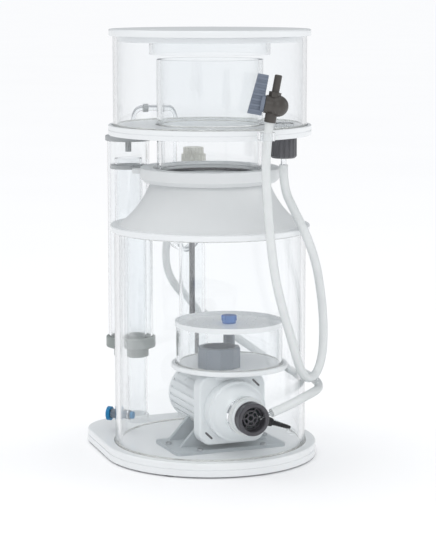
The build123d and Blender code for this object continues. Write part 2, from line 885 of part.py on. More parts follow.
with BuildPart() as silencer_cap:
    with BuildSketch(Plane.XY.offset(silencer_top)):
        with Locations(silencer_at):
            Circle(silencer_r + cap_rim)
    extrude(amount=cap_t)
    fillet(silencer_cap.edges(), cap_round)
    with BuildSketch(Plane.XY.offset(silencer_top)):
        with Locations(silencer_at):
            Circle(tail_od / 2)
    extrude(amount=-tail_h)
    with BuildSketch(Plane.XY.offset(cap_top)):
        with Locations(silencer_at):
            Circle(arch_od / 2 - arch_wall)
    extrude(amount=-(cap_t + tail_h), mode=Mode.SUBTRACT)
silencer_cap.part.label = "silencer_cap"
export_step(silencer_cap.part, "parts/silencer_cap.step")

arch_low = Vector(silencer_x, silencer_y, cap_top)
arch_left = Vector(silencer_x, silencer_y, arch_top)
arch_right = arch_left + Vector(arch_across)
arch_end = arch_right - Vector(0, 0, arch_drop)
with BuildPart() as silencer_arch:
    with BuildLine():
        FilletPolyline(arch_low, arch_left, arch_right, arch_end, radius=arch_bend)
    with BuildSketch(Plane(origin=arch_low, z_dir=(0, 0, 1))):
        annulus(arch_od / 2, arch_od / 2 - arch_wall)
    sweep()
silencer_arch.part.label = "silencer_arch"
export_step(silencer_arch.part, "parts/silencer_arch.step")

arch_run = arch_right - arch_left
joint_at = arch_left + arch_run * arch_joint_share
with BuildPart() as arch_joint:
    with BuildSketch(Plane(origin=joint_at, z_dir=arch_run)):
        annulus(arch_od / 2 + arch_joint_wall, arch_od / 2)
    extrude(amount=arch_joint_len / 2, both=True)
arch_joint.part.label = "arch_joint"
export_step(arch_joint.part, "parts/arch_joint.step")

# ---------------------------------------------------------------- outlet column and its regulator

spout_plane = Plane(origin=(outlet_x, outlet_y, spout_z), x_dir=(1, 0, 0), z_dir=(0, 1, 0))
with BuildPart() as outlet_pipe:
    with BuildSketch(Plane.XY.offset(deck_top)):
        annulus(pipe_r, outlet_bore_r, outlet_at)
    extrude(amount=outlet_top - deck_top)
    with BuildSketch(spout_plane):
        Circle(spout_od / 2 - spout_wall)
    extrude(amount=pipe_od, mode=Mode.SUBTRACT)
outlet_pipe.part.label = "outlet_pipe"
export_step(outlet_pipe.part, "parts/outlet_pipe.step")

with BuildPart() as outlet_spout:
    with BuildSketch(spout_plane):
        Circle(spout_od / 2)
    extrude(amount=spout_reach - socket_depth)
    with BuildSketch(spout_plane.offset(spout_reach - socket_depth - socket_wall)):
        Circle(socket_bore / 2 + socket_wall)
    extrude(amount=socket_depth + socket_wall)
    with BuildSketch(spout_plane):
        Circle(spout_od / 2 - spout_wall)
    extrude(amount=spout_reach, mode=Mode.SUBTRACT)
    with BuildSketch(spout_plane.offset(spout_reach - socket_depth)):
        Circle(socket_bore / 2)
    extrude(amount=socket_depth, mode=Mode.SUBTRACT)
    with BuildSketch(Plane.XY.offset(spout_z - pipe_od)):
        with Locations(outlet_at):
            Circle(pipe_r + glue_gap / 2)
    extrude(amount=2 * pipe_od, mode=Mode.SUBTRACT)
outlet_spout.part.label = "outlet_spout"
export_step(outlet_spout.part, "parts/outlet_spout.step")

with BuildPart() as outlet_cap:
    with BuildSketch(Plane.XY.offset(outlet_top)):
        annulus(pipe_r + outlet_cap_rim, rod_r + run_gap, outlet_at)
    extrude(amount=outlet_cap_t)
    with BuildSketch(Plane.XY.offset(outlet_top)):
        annulus(outlet_bore_r - glue_gap, rod_r + run_gap, outlet_at)
    extrude(amount=-outlet_plug_h)
outlet_cap.part.label = "outlet_cap"
export_step(outlet_cap.part, "parts/outlet_cap.step")

with BuildPart() as regulator_rod:
    with BuildSketch(Plane.XY.offset(rod_bottom)):
        with Locations(outlet_at):
            Circle(rod_r)
    extrude(amount=knob_z - rod_bottom)
regulator_rod.part.label = "regulator_rod"
export_step(regulator_rod.part, "parts/regulator_rod.step")

with BuildPart() as regulator_knob:
    with BuildSketch(Plane.XY.offset(knob_z)):
        with Locations(outlet_at):
            Circle(knob_low_r)
    extrude(amount=knob_low_h)
    with BuildSketch(Plane.XY.offset(knob_z + knob_low_h)):
        with Locations(outlet_at):
            Circle(knob_top_r)
    extrude(amount=knob_top_h)
    chamfer(regulator_knob.faces().sort_by(Axis.Z)[-1].edges(), knob_chamfer)
    with BuildSketch(Plane.XY.offset(knob_z)):
        with Locations(outlet_at):
            with PolarLocations(knob_low_r + knob_flute_out, knob_low_flutes):
                Circle(knob_flute_r)
    extrude(amount=knob_low_h, mode=Mode.SUBTRACT)
    with BuildSketch(Plane.XY.offset(knob_z + knob_low_h)):
        with Locations(outlet_at):
            with PolarLocations(knob_top_r + knob_flute_out, knob_top_flutes):
                Circle(knob_flute_r)
    extrude(amount=knob_top_h, mode=Mode.SUBTRACT)
regulator_knob.part.label = "regulator_knob"
export_step(regulator_knob.part, "parts/regulator_knob.step")

# The plug's slanted top opens or closes the way up the outlet pipe as it turns.
slant_at = (outlet_x, outlet_y, plug_z + plug_h - plug_slant_drop)
with BuildPart() as regulator_plug:
    with BuildSketch(Plane.XY.offset(plug_z)):
        with Locations(outlet_at):
            Circle(outlet_bore_r - turn_gap)
    extrude(amount=plug_h)
    split(bisect_by=Plane(origin=slant_at, z_dir=(0, plug_slant, 1)), keep=Keep.BOTTOM)
    with BuildSketch(Plane.XY.offset(rod_bottom)):
        with Locations(outlet_at):
            Circle(rod_r)
    extrude(amount=plug_h, mode=Mode.SUBTRACT)
regulator_plug.part.label = "regulator_plug"
export_step(regulator_plug.part, "parts/regulator_plug.step")

# ---------------------------------------------------------------- pump

barrel_len = barrel_back - barrel_front
with BuildPart() as pump_barrel:
    with BuildSketch(pump_plane(barrel_back)):
        Circle(barrel_r)
    extrude(amount=barrel_len)
    fillet(pump_barrel.faces().sort_by(Axis.Y)[-1].edges(), barrel_round)
    with BuildSketch(pump_plane(barrel_front + fin_front)):
        with PolarLocations(barrel_r, fin_count):
            Rectangle(2 * fin_depth, fin_groove)
    extrude(amount=-(barrel_len - fin_front - fin_back), mode=Mode.SUBTRACT)
    with BuildSketch(pump_plane(barrel_front)):
        Circle(barrel_r - barrel_wall)
    extrude(amount=-(barrel_len - barrel_wall), mode=Mode.SUBTRACT)
pump_barrel.part.label = "pump_barrel"
export_step(pump_barrel.part, "parts/pump_barrel.step")

with BuildPart() as pump_casing:
    with BuildSketch(pump_plane(barrel_front)):
        RectangleRounded(casing_w, casing_w, casing_corner)
    extrude(amount=casing_t)
    fillet(pump_casing.faces().sort_by(Axis.Y)[0].edges(), casing_round)
    with BuildSketch(Plane.XY.offset(shoulder_low)):
        with Locations(spigot_at):
            Circle(spigot_r + shoulder_w)
    extrude(amount=disc_z - shoulder_low)
    with BuildSketch(Plane.XY.offset(disc_z)):
        with Locations(spigot_at):
            Circle(spigot_r)
    extrude(amount=spigot_top - disc_z)
    with BuildSketch(pump_plane(casing_front)):
        Circle(pumping_r)
    extrude(amount=-(casing_t - casing_web), mode=Mode.SUBTRACT)
    with BuildSketch(pump_plane(casing_front)):
        Circle(hub_r + casing_gap)
    extrude(amount=-casing_t, mode=Mode.SUBTRACT)
    with BuildSketch(pump_plane(casing_front)):
        with PolarLocations(slot_reach, 2, start_angle=45):
            SlotOverall(slot_len, slot_w, rotation=90)
    extrude(amount=-slot_depth, mode=Mode.SUBTRACT)
    with BuildSketch(Plane.XY.offset(spigot_top)):
        with Locations(spigot_at):
            Circle(spigot_bore_r)
    extrude(amount=-(spigot_top - duct_z), mode=Mode.SUBTRACT)
    with BuildSketch(Plane.XY.offset(duct_z)):
        with Locations((spigot_x, (duct_y + spigot_y) / 2)):
            Rectangle(duct_w, spigot_y - duct_y + duct_len)
    extrude(amount=duct_h, mode=Mode.SUBTRACT)
    with BuildSketch(Plane.XY.offset(duct_z + duct_h)):
        with Locations((spigot_x, duct_y)):
            Rectangle(duct_w, duct_len)
    extrude(amount=-duct_drop, mode=Mode.SUBTRACT)
pump_casing.part.label = "pump_casing"
export_step(pump_casing.part, "parts/pump_casing.step")

# The volute cover: a disc, a dome and the inlet neck that reaches through the body wall.
dome_at = (volute_front - dome_shoulder / 3, pump_z + volute_r - dome_shoulder)
with BuildPart() as pump_volute:
    with BuildSketch(Plane.YZ):
        with BuildLine():
            Polyline(
                (inlet_y, pump_z + inlet_neck_r),
                (inlet_y, pump_z + inlet_bore_r),
                (volute_front + volute_web, pump_z + inlet_bore_r),
                (volute_front + volute_web, pump_z + pumping_r),
                (casing_front, pump_z + pumping_r),
                (casing_front, pump_z + volute_r),
                (volute_front + dome_shoulder / 2, pump_z + volute_r),
            )
            SagittaArc((volute_front + dome_shoulder / 2, pump_z + volute_r), dome_at, shoulder_sag)
            SagittaArc(dome_at, (volute_front - dome_len, pump_z + inlet_neck_r), -dome_sag)
            Line((volute_front - dome_len, pump_z + inlet_neck_r), (inlet_y, pump_z + inlet_neck_r))
        make_face()
    revolve(axis=Axis((0, 0, pump_z), (0, 1, 0)))
    with BuildSketch(pump_plane(spoke_y)):
        Circle(bush_out_r + spoke_w / 2)
        with PolarLocations(inlet_bore_r / 2, spoke_count):
            Rectangle(inlet_bore_r + 2 * inlet_rim, spoke_w)
    extrude(amount=spoke_t)
    with BuildSketch(pump_plane(spoke_y)):
        Circle(bush_out_r)
    extrude(amount=spoke_t, mode=Mode.SUBTRACT)
pump_volute.part.label = "pump_volute"
export_step(pump_volute.part, "parts/pump_volute.step")

with BuildPart() as pump_inlet:
    with BuildSketch(pump_plane(inlet_y)):
        annulus(inlet_r, inlet_bore_r - inlet_rim)
    extrude(amount=inlet_len)
    with BuildSketch(pump_plane(inlet_y - inlet_groove_at)):
        annulus(inlet_r + inlet_groove_depth, inlet_r - inlet_groove_depth)
    extrude(amount=-inlet_groove_w, mode=Mode.SUBTRACT)
    chamfer(pump_inlet.faces().sort_by(Axis.Y)[0].edges(), inlet_chamfer)
    with BuildSketch(Plane(origin=nozzle_end, z_dir=nozzle_tip - nozzle_end)):
        Circle(nozzle_od / 2 + glue_gap)
    extrude(amount=nozzle_len, mode=Mode.SUBTRACT)
pump_inlet.part.label = "pump_inlet"
export_step(pump_inlet.part, "parts/pump_inlet.step")

strainer_r = inlet_bore_r - inlet_rim - glue_gap
strainer_rings = (strainer_r, strainer_r * 2 / 3, strainer_r / 3)
with BuildPart() as inlet_strainer:
    with BuildSketch(pump_plane(inlet_y)):
        for strainer_ring in strainer_rings:
            annulus(strainer_ring, strainer_ring - strainer_ring_w)
        with PolarLocations(strainer_r * 0.58, strainer_bars):
            Rectangle(strainer_r * 0.78, strainer_bar_w)
    extrude(amount=strainer_t)
inlet_strainer.part.label = "inlet_strainer"
export_step(inlet_strainer.part, "parts/inlet_strainer.step")

with BuildPart() as inlet_grommet:
    with BuildSketch(pump_plane(grommet_len - grommet_out - body_r)):
        annulus(inlet_neck_r + grommet_w - glue_gap, inlet_neck_r + glue_gap)
    extrude(amount=grommet_len)
inlet_grommet.part.label = "inlet_grommet"
export_step(inlet_grommet.part, "parts/inlet_grommet.step")

with BuildPart() as air_nozzle:
    with BuildSketch(Plane(origin=nozzle_end, z_dir=nozzle_tip - nozzle_end)):
        annulus(nozzle_od / 2, nozzle_bore / 2)
    extrude(amount=nozzle_len)
air_nozzle.part.label = "air_nozzle"
export_step(air_nozzle.part, "parts/air_nozzle.step")

with BuildPart() as pump_stator:
    with BuildSketch(pump_plane(stator_back)):
        annulus(barrel_r - barrel_wall - glue_gap, stator_bore_r)
    extrude(amount=stator_back - barrel_front - stator_front_gap)
    with BuildSketch(pump_plane(stator_back)):
        annulus(stator_bore_r, bush_out_r)
    extrude(amount=back_web_t)
pump_stator.part.label = "pump_stator"
export_step(pump_stator.part, "parts/pump_stator.step")

with BuildPart() as pump_shaft:
    with BuildSketch(pump_plane(stator_back)):
        Circle(shaft_r)
    extrude(amount=stator_back - shaft_front)
pump_shaft.part.label = "pump_shaft"
export_step(pump_shaft.part, "parts/pump_shaft.step")

with BuildPart() as shaft_bushes:
    with BuildSketch(pump_plane(stator_back)):
        annulus(bush_out_r, shaft_r)
    extrude(amount=back_web_t)
    with BuildSketch(pump_plane(spoke_y)):
        annulus(bush_out_r, shaft_r)
    extrude(amount=spoke_t)
shaft_bushes.part.label = "shaft_bushes"
export_step(shaft_bushes.part, "parts/shaft_bushes.step")

with BuildPart() as rotor_magnet:
    with BuildSketch(pump_plane(magnet_back)):
        annulus(magnet_r, shaft_r + run_gap)
    extrude(amount=magnet_back - magnet_front)
    chamfer(rotor_magnet.edges().filter_by(GeomType.CIRCLE).group_by(SortBy.RADIUS)[-1], magnet_chamfer)
rotor_magnet.part.label = "rotor_magnet"
export_step(rotor_magnet.part, "parts/rotor_magnet.step")

with BuildPart() as needle_wheel:
    with BuildSketch(pump_plane(magnet_front)):
        Circle(hub_r)
    extrude(amount=magnet_front - needle_plate_y + needle_len)
    with BuildSketch(pump_plane(needle_plate_y)):
        Circle(needle_plate_r)
    extrude(amount=needle_plate_t)
    with BuildSketch(pump_plane(needle_plate_y)):
        for needle_ring, needle_count in needle_rings:
            with PolarLocations(needle_ring, needle_count):
                Circle(needle_r)
    extrude(amount=needle_len)
    with BuildSketch(pump_plane(magnet_front)):
        Circle(shaft_r + run_gap)
    extrude(amount=magnet_front - needle_plate_y + needle_len, mode=Mode.SUBTRACT)
needle_wheel.part.label = "needle_wheel"
export_step(needle_wheel.part, "parts/needle_wheel.step")

bracket_len = bracket_back - bracket_front
cheeks_from = barrel_front + cheek_inset
cheeks_to = bracket_back - cheek_inset
with BuildPart() as pump_bracket:
    with BuildSketch(Plane.XY.offset(deck_top)):
        with Locations((0, bracket_back - bracket_len / 2)):
            RectangleRounded(bracket_w, bracket_len, bracket_corner)
        with Locations(*screws_at):
            Circle(screw_r + glue_gap, mode=Mode.SUBTRACT)
    extrude(amount=bracket_t)
    for station in (cheeks_from + cheek_t, cheeks_to):
        with BuildSketch(pump_plane(station)):
            Polygon(
                (-cheek_foot_w / 2, bracket_top - pump_z),
                (cheek_foot_w / 2, bracket_top - pump_z),
                (cheek_top_w / 2, bracket_top - pump_z + cheek_h),
                (-cheek_top_w / 2, bracket_top - pump_z + cheek_h),
                align=None,
            )
        extrude(amount=cheek_t)
    with BuildSketch(Plane.XY.offset(bracket_top)):
        with Locations((0, (cheeks_from + cheeks_to) / 2)):
            Rectangle(beam_w, cheeks_to - cheeks_from)
    extrude(amount=beam_h)
    with BuildSketch(pump_plane(barrel_back)):
        Circle(barrel_r + glue_gap)
    extrude(amount=barrel_back - bracket_front, mode=Mode.SUBTRACT)
pump_bracket.part.label = "pump_bracket"
export_step(pump_bracket.part, "parts/pump_bracket.step")

with BuildPart() as bracket_screws:
    with BuildSketch(Plane.XY.offset(bracket_top)):
        with Locations(*screws_at):
            Circle(screw_head_r)
    extrude(amount=screw_head_h)
    fillet(bracket_screws.faces().group_by(Axis.Z)[-1].edges(), screw_head_round)
    with BuildSketch(Plane.XY.offset(bracket_top + screw_head_h)):
        with Locations(*screws_at):
            Rectangle(screw_cross, screw_cross_w)
            Rectangle(screw_cross_w, screw_cross)
    extrude(amount=-screw_cross_depth, mode=Mode.SUBTRACT)
    with BuildSketch(Plane.XY.offset(bracket_top)):
        with Locations(*screws_at):
            Circle(screw_r)
    extrude(amount=-screw_len)
bracket_screws.part.label = "bracket_screws"
export_step(bracket_screws.part, "parts/bracket_screws.step")

gland_plane = wall_plane(gland_angle, gland_z)
boot_start = gland_plane.offset(body_r + boot_out).origin
with BuildPart() as cable_gland:
    with BuildSketch(gland_plane.offset(body_in_r - gland_in)):
        Circle(gland_r)
    extrude(amount=gland_len)
    with BuildSketch(Plane(origin=boot_start, z_dir=boot_run)):
        Circle(boot_r)
    extrude(amount=boot_len, taper=boot_taper)
cable_gland.part.label = "cable_gland"
export_step(cable_gland.part, "parts/cable_gland.step")

# ---------------------------------------------------------------- bubble-plate chamber

with BuildPart() as chamber_disc:
    with BuildSketch(Plane.XY.offset(disc_z)):
        with Locations(chamber_at):
            Circle(disc_r)
        with Locations(spigot_at):
            Circle(spigot_r + glue_gap, mode=Mode.SUBTRACT)
    extrude(amount=disc_t)
    fillet(chamber_disc.edges().filter_by(GeomType.CIRCLE).group_by(SortBy.RADIUS)[-1], disc_round)
chamber_disc.part.label = "chamber_disc"
export_step(chamber_disc.part, "parts/chamber_disc.step")

with BuildPart() as chamber_wall:
    with BuildSketch(Plane.XY.offset(disc_top)):
        annulus(chamber_out_r, chamber_out_r - chamber_wall_t, chamber_at)
    extrude(amount=chamber_h)
chamber_wall.part.label = "chamber_wall"
export_step(chamber_wall.part, "parts/chamber_wall.step")

perforated_w = chamber_out_r - chamber_wall_t - perforation_start
perforation_rings = int(perforated_w / perforation_step) + 1
with BuildPart() as bubble_plate:
    with BuildSketch(Plane.XY.offset(plate_low)):
        with Locations(chamber_at):
            Circle(plate_r)
            Circle(post_r + glue_gap, mode=Mode.SUBTRACT)
            for step in range(perforation_rings):
                hole_ring = perforation_start + step * perforation_step
                with PolarLocations(hole_ring, round(2 * pi * hole_ring / perforation_pitch)):
                    Circle(perforation_r, mode=Mode.SUBTRACT)
    extrude(amount=plate_t)
    with BuildSketch(Plane.XY.offset(plate_top)):
        annulus(plate_r, plate_r - plate_lip_w, chamber_at)
    extrude(amount=plate_lip_h)
bubble_plate.part.label = "bubble_plate"
export_step(bubble_plate.part, "parts/bubble_plate.step")

with BuildPart() as chamber_post:
    with BuildSketch(Plane.XY.offset(disc_top)):
        with Locations(chamber_at):
            Circle(post_r)
    extrude(amount=plate_top - disc_top)
    with BuildSketch(Plane.XY.offset(plate_top)):
        with Locations(chamber_at):
            Circle(stud_r + run_gap)
    extrude(amount=-(stud_len + stud_room), mode=Mode.SUBTRACT)
chamber_post.part.label = "chamber_post"
export_step(chamber_post.part, "parts/chamber_post.step")

thumb_z = plate_top + turn_gap
with BuildPart() as plate_knob:
    with BuildSketch(Plane.XY.offset(thumb_z)):
        with Locations(chamber_at):
            Circle(thumb_foot_r)
    extrude(amount=thumb_foot_h)
    with BuildSketch(Plane.XY.offset(thumb_z + thumb_foot_h)):
        with Locations(chamber_at):
            Circle(thumb_r)
    extrude(amount=thumb_h)
    fillet(plate_knob.faces().sort_by(Axis.Z)[-1].edges(), thumb_round)
    with BuildSketch(Plane.XY.offset(thumb_z + thumb_foot_h)):
        with Locations(chamber_at):
            with PolarLocations(thumb_r + thumb_flute_out, thumb_flutes):
                Circle(thumb_flute_r)
    extrude(amount=thumb_h, mode=Mode.SUBTRACT)
    with BuildSketch(Plane.XY.offset(thumb_z)):
        with Locations(chamber_at):
            Circle(stud_r)
    extrude(amount=-(stud_len + turn_gap))
plate_knob.part.label = "plate_knob"
export_step(plate_knob.part, "parts/plate_knob.step")

with BuildPart() as union_nut:
    with BuildSketch(Plane.XY.offset(nut_low)):
        with Locations(spigot_at):
            RegularPolygon(radius=nut_r, side_count=nut_sides)
    extrude(amount=nut_h)
    chamfer(union_nut.faces().sort_by(Axis.Z)[-1].edges(), nut_chamfer)
    with BuildSketch(Plane.XY.offset(nut_low)):
        with Locations(spigot_at):
            Circle(spigot_r + turn_gap)
    extrude(amount=nut_h, mode=Mode.SUBTRACT)
    with BuildSketch(Plane.XY.offset(nut_low + nut_h)):
        with Locations(spigot_at):
            Circle(spigot_r + nut_mouth_w)
    extrude(amount=-nut_mouth_depth, mode=Mode.SUBTRACT)
union_nut.part.label = "union_nut"
export_step(union_nut.part, "parts/union_nut.step")

# ---------------------------------------------------------------- body drain

drain_plane = wall_plane(drain_angle, drain_z)
stub_start = body_in_r - stub_in
with BuildPart() as drain_stub:
    with BuildSketch(drain_plane.offset(stub_start)):
        annulus(stub_r, drain_stem_r + run_gap)
    extrude(amount=stub_len)
drain_stub.part.label = "drain_stub"
export_step(drain_stub.part, "parts/drain_stub.step")

drain_end = stub_start - turn_gap - drain_end_t
knob_start = stub_start + stub_len + turn_gap
with BuildPart() as drain_knob:
    with BuildSketch(drain_plane.offset(drain_end)):
        Circle(drain_end_r)
    extrude(amount=drain_end_t)
    with BuildSketch(drain_plane.offset(drain_end)):
        Circle(drain_stem_r)
    extrude(amount=knob_start - drain_end)
    with BuildSketch(drain_plane.offset(knob_start)):
        Circle(drain_knob_r)
        with PolarLocations(drain_knob_r + drain_knob_flute_out, drain_knob_flutes):
            Circle(drain_knob_flute_r, mode=Mode.SUBTRACT)
    extrude(amount=drain_knob_t)
drain_knob.part.label = "drain_knob"
export_step(drain_knob.part, "parts/drain_knob.step")

# ---------------------------------------------------------------- drain tap

# The tap's own frame: z runs up its bore and x points along the key towards the lever.
lean = radians(tap_lean)
turned = radians(view_turn)
tap_flow = Vector(sin(lean) * cos(turned), sin(lean) * sin(turned), cos(lean))
tap_key = Vector(-cos(lean) * cos(turned), -cos(lean) * sin(turned), sin(lean))
tap_frame = Plane(origin=tap_at, x_dir=tap_key, z_dir=tap_flow)
key_frame = Plane(origin=tap_at, x_dir=tap_flow, z_dir=tap_key)

with BuildPart() as tap_body:
    with BuildSketch(tap_frame.offset(spigot_low_end)):
        Circle(spigot_low_r)
    extrude(amount=spigot_low_h)
    with BuildSketch(tap_frame.offset(spigot_low_end)):
        Circle(tap_waist_r)
    extrude(amount=tap_collar_top - spigot_low_end)
    with BuildSketch(tap_frame.offset(tap_collar_top - tap_hex_h)):
        RegularPolygon(radius=tap_hex_r, side_count=6)
    extrude(amount=tap_hex_h)
    with BuildSketch(tap_frame.offset(tap_collar_top)):
        Circle(tap_barb_r)
    extrude(amount=tap_barb_top - tap_collar_top)
    chamfer(tap_body.faces().sort_by(Axis(tap_at, tap_flow))[-1].edges(), tap_barb_chamfer)
    with BuildSketch(key_frame.offset(ball_offset)):
        Circle(barrel_tap_r)
    extrude(amount=barrel_tap_len - ball_offset)
    with Locations(Location(key_frame.offset(ball_offset))):
        Sphere(ball_r)
    with BuildSketch(tap_frame.offset(spigot_low_end)):
        Circle(tap_bore_r)
    extrude(amount=tap_barb_top - spigot_low_end, mode=Mode.SUBTRACT)
    with BuildSketch(key_frame.offset(barrel_tap_len)):
        Circle(key_r)
    extrude(amount=-key_depth - key_end_gap, mode=Mode.SUBTRACT)
tap_body.part.label = "tap_body"
export_step(tap_body.part, "parts/tap_body.step")

lever_start = barrel_tap_len + turn_gap
lever_mid = (lever_up - lever_down) / 2
lever_len = lever_up + lever_down
rib_pitch = lever_len / lever_ribs
with BuildPart() as tap_lever:
    with BuildSketch(key_frame.offset(barrel_tap_len - key_depth)):
        Circle(key_r - run_gap)
    extrude(amount=key_depth + turn_gap)
    with BuildSketch(key_frame.offset(lever_start)):
        Circle(lever_hub_r)
    extrude(amount=lever_hub_t)
    with BuildSketch(key_frame.offset(lever_start + lever_step)):
        with Locations((lever_mid, 0)):
            RectangleRounded(lever_len, lever_t, lever_corner)
    extrude(amount=lever_w)
    with BuildSketch(key_frame.offset(lever_start + lever_step + lever_rib_step)):
        for rib in range(lever_ribs):
            with Locations((lever_mid - lever_len / 2 + rib_pitch * (rib + 0.5), 0)):
                Rectangle(rib_pitch * lever_rib_share, lever_t + 2 * lever_rib_t)
    extrude(amount=lever_w - 2 * lever_rib_step)
    with BuildSketch(tap_frame.offset(-key_r)):
        Circle(tap_bore_r)
    extrude(amount=2 * key_r, mode=Mode.SUBTRACT)
tap_lever.part.label = "tap_lever"
export_step(tap_lever.part, "parts/tap_lever.step")

# ---------------------------------------------------------------- hoses

drain_radii = corner_radii(drain_route)
with BuildPart() as drain_hose:
    with BuildLine():
        drain_path = FilletPolyline(*drain_route, radius=drain_radii)
    with BuildSketch(Plane(origin=drain_route[0], z_dir=drain_path % 0)):
        Circle(hose_od / 2)
    sweep()
report_hose("drain hose", drain_hose.part, drain_path, drain_radii)
drain_hose.part.label = "drain_hose"
export_step(drain_hose.part, "parts/drain_hose.step")

air_radii = corner_radii(air_route)
with BuildPart() as air_hose:
    with BuildLine():
        air_path = FilletPolyline(*air_route, radius=air_radii)
    with BuildSketch(Plane(origin=air_route[0], z_dir=air_path % 0)):
        Circle(hose_od / 2)
    sweep()
report_hose("air hose", air_hose.part, air_path, air_radii)
air_hose.part.label = "air_hose"
export_step(air_hose.part, "parts/air_hose.step")

# The clip on the cup floor's rim that holds the drain hose upright.
clip_z = floor_mid - clip_h / 2
clip_run = Vector(drain_route[-1]) - Vector(drain_route[-2])
clip_share = (floor_mid - drain_route[-2][2]) / clip_run.Z
clip_at = Vector(drain_route[-2]) + clip_run * clip_share
clip_centre = (clip_at.X, clip_at.Y)
clip_in_r = hose_od / 2 + clip_slack
clip_reach = Vector(*clip_centre).length
clip_arm_len = clip_reach - floor_r
clip_turn = degrees(atan2(clip_at.Y, clip_at.X))
with BuildPart() as hose_clip:
    with BuildSketch(Plane.XY.offset(clip_z)):
        with Locations(clip_centre):
            Circle(clip_in_r + clip_wall)
        with PolarLocations(clip_reach - clip_arm_len / 2, 1, start_angle=clip_turn):
            Rectangle(clip_arm_len, clip_arm_w)
        with Locations(clip_centre):
            Circle(clip_in_r, mode=Mode.SUBTRACT)
        Circle(floor_r + glue_gap, mode=Mode.SUBTRACT)
    extrude(amount=clip_h)
hose_clip.part.label = "hose_clip"
export_step(hose_clip.part, "parts/hose_clip.step")
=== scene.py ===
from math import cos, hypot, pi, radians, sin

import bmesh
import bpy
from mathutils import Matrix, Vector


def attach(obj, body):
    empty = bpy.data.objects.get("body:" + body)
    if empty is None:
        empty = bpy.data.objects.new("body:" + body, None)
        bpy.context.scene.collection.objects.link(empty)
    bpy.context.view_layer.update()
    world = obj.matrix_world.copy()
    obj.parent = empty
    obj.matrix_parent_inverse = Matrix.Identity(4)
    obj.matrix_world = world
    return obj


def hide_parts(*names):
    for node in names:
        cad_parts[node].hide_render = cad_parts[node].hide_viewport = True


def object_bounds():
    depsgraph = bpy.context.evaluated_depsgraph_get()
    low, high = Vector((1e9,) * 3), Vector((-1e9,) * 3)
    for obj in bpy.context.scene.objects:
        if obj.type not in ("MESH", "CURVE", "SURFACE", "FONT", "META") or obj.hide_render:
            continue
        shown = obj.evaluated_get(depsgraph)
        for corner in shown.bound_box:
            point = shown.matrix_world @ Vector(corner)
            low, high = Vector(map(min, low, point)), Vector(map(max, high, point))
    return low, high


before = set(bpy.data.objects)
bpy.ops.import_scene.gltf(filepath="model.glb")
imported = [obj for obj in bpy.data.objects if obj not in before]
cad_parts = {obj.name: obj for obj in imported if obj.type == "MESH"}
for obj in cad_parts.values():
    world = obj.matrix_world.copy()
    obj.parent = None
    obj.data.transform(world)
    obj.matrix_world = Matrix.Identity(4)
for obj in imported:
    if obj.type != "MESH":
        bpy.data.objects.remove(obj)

# %% [markdown]
# # A protein skimmer in clear acrylic and white PVC
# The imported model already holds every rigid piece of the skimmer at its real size. This notebook gives
# the pieces their finishes, draws the two hoses as real hoses, and adds the small shapes that a designer's
# model leaves out: cement beads, a ribbed cable boot, a moulded tap lever and the catches of the pump's
# casing.
# Everything is in metres, with +Z up and the front of the skimmer towards -Y.

MM = 0.001
cad_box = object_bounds()
print("CAD box", [[round(value, 4) for value in corner] for corner in cad_box])


# %% Measure the model's pieces
def top_of(node):
    """The height of a model piece's top, in millimetres."""
    return max(vertex.co.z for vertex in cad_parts[node].data.vertices) / MM


def underside_of(node):
    """The height of a model piece's underside, in millimetres."""
    return min(vertex.co.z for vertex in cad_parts[node].data.vertices) / MM


def radius_of(node, middle=(0, 0)):
    """A round piece's outer radius about an upright axis, in millimetres."""
    places = [vertex.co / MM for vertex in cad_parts[node].data.vertices]
    return max(hypot(place.x - middle[0], place.y - middle[1]) for place in places)


chamber_middle = (11, -25.5)
body_r = radius_of("body_tube")
neck_r = radius_of("neck_tube")
chamber_r = radius_of("chamber_wall", chamber_middle)
print("radii (mm): body", round(body_r, 3), "neck", round(neck_r, 3), "chamber", round(chamber_r, 3))

# %% [markdown]
# ## The camera
# A product shot like this one is taken with a long lens from about two metres, a little above the middle
# of the object, so that the tubes stay nearly upright while the round plates open into thin ellipses.
# The camera stands 22 degrees to the left of the front. It is made first, before the hoses.

# %% Camera
# The lens is long enough for the skimmer to fill most of the frame's height.
camera_distance = 1.992
camera_height = 0.4895
camera_turn = radians(-22)
camera_data = bpy.data.cameras.new("camera")
camera_data.sensor_width = 36
camera_data.lens = 128.4
camera = bpy.data.objects.new("camera", camera_data)
bpy.context.collection.objects.link(camera)
camera.location = (camera_distance * sin(camera_turn), -camera_distance * cos(camera_turn), camera_height)
looked_at = Vector((0.0078, -0.0031, 0.1956))
camera.rotation_euler = (looked_at - camera.location).to_track_quat("-Z", "Y").to_euler()
bpy.context.scene.camera = camera
print("camera at", [round(value, 3) for value in camera.location])

# %% [markdown]
# ## The hoses
# Both hoses are soft silicone tube, 9 mm across outside. A hose is a fixed length of something flexible,
# so it is drawn as one smooth NURBS line with a round bevel, and the line's control points are where the
# hose is pushed or pulled. The drain hose hangs from the cup in a long loop and comes back up to its tap.
# The air hose leaves the silencer's arch pipe, goes round the back of the body and ends in the pump's
# nozzle. The order of the spline is set after its points, because before that it has none to smooth.

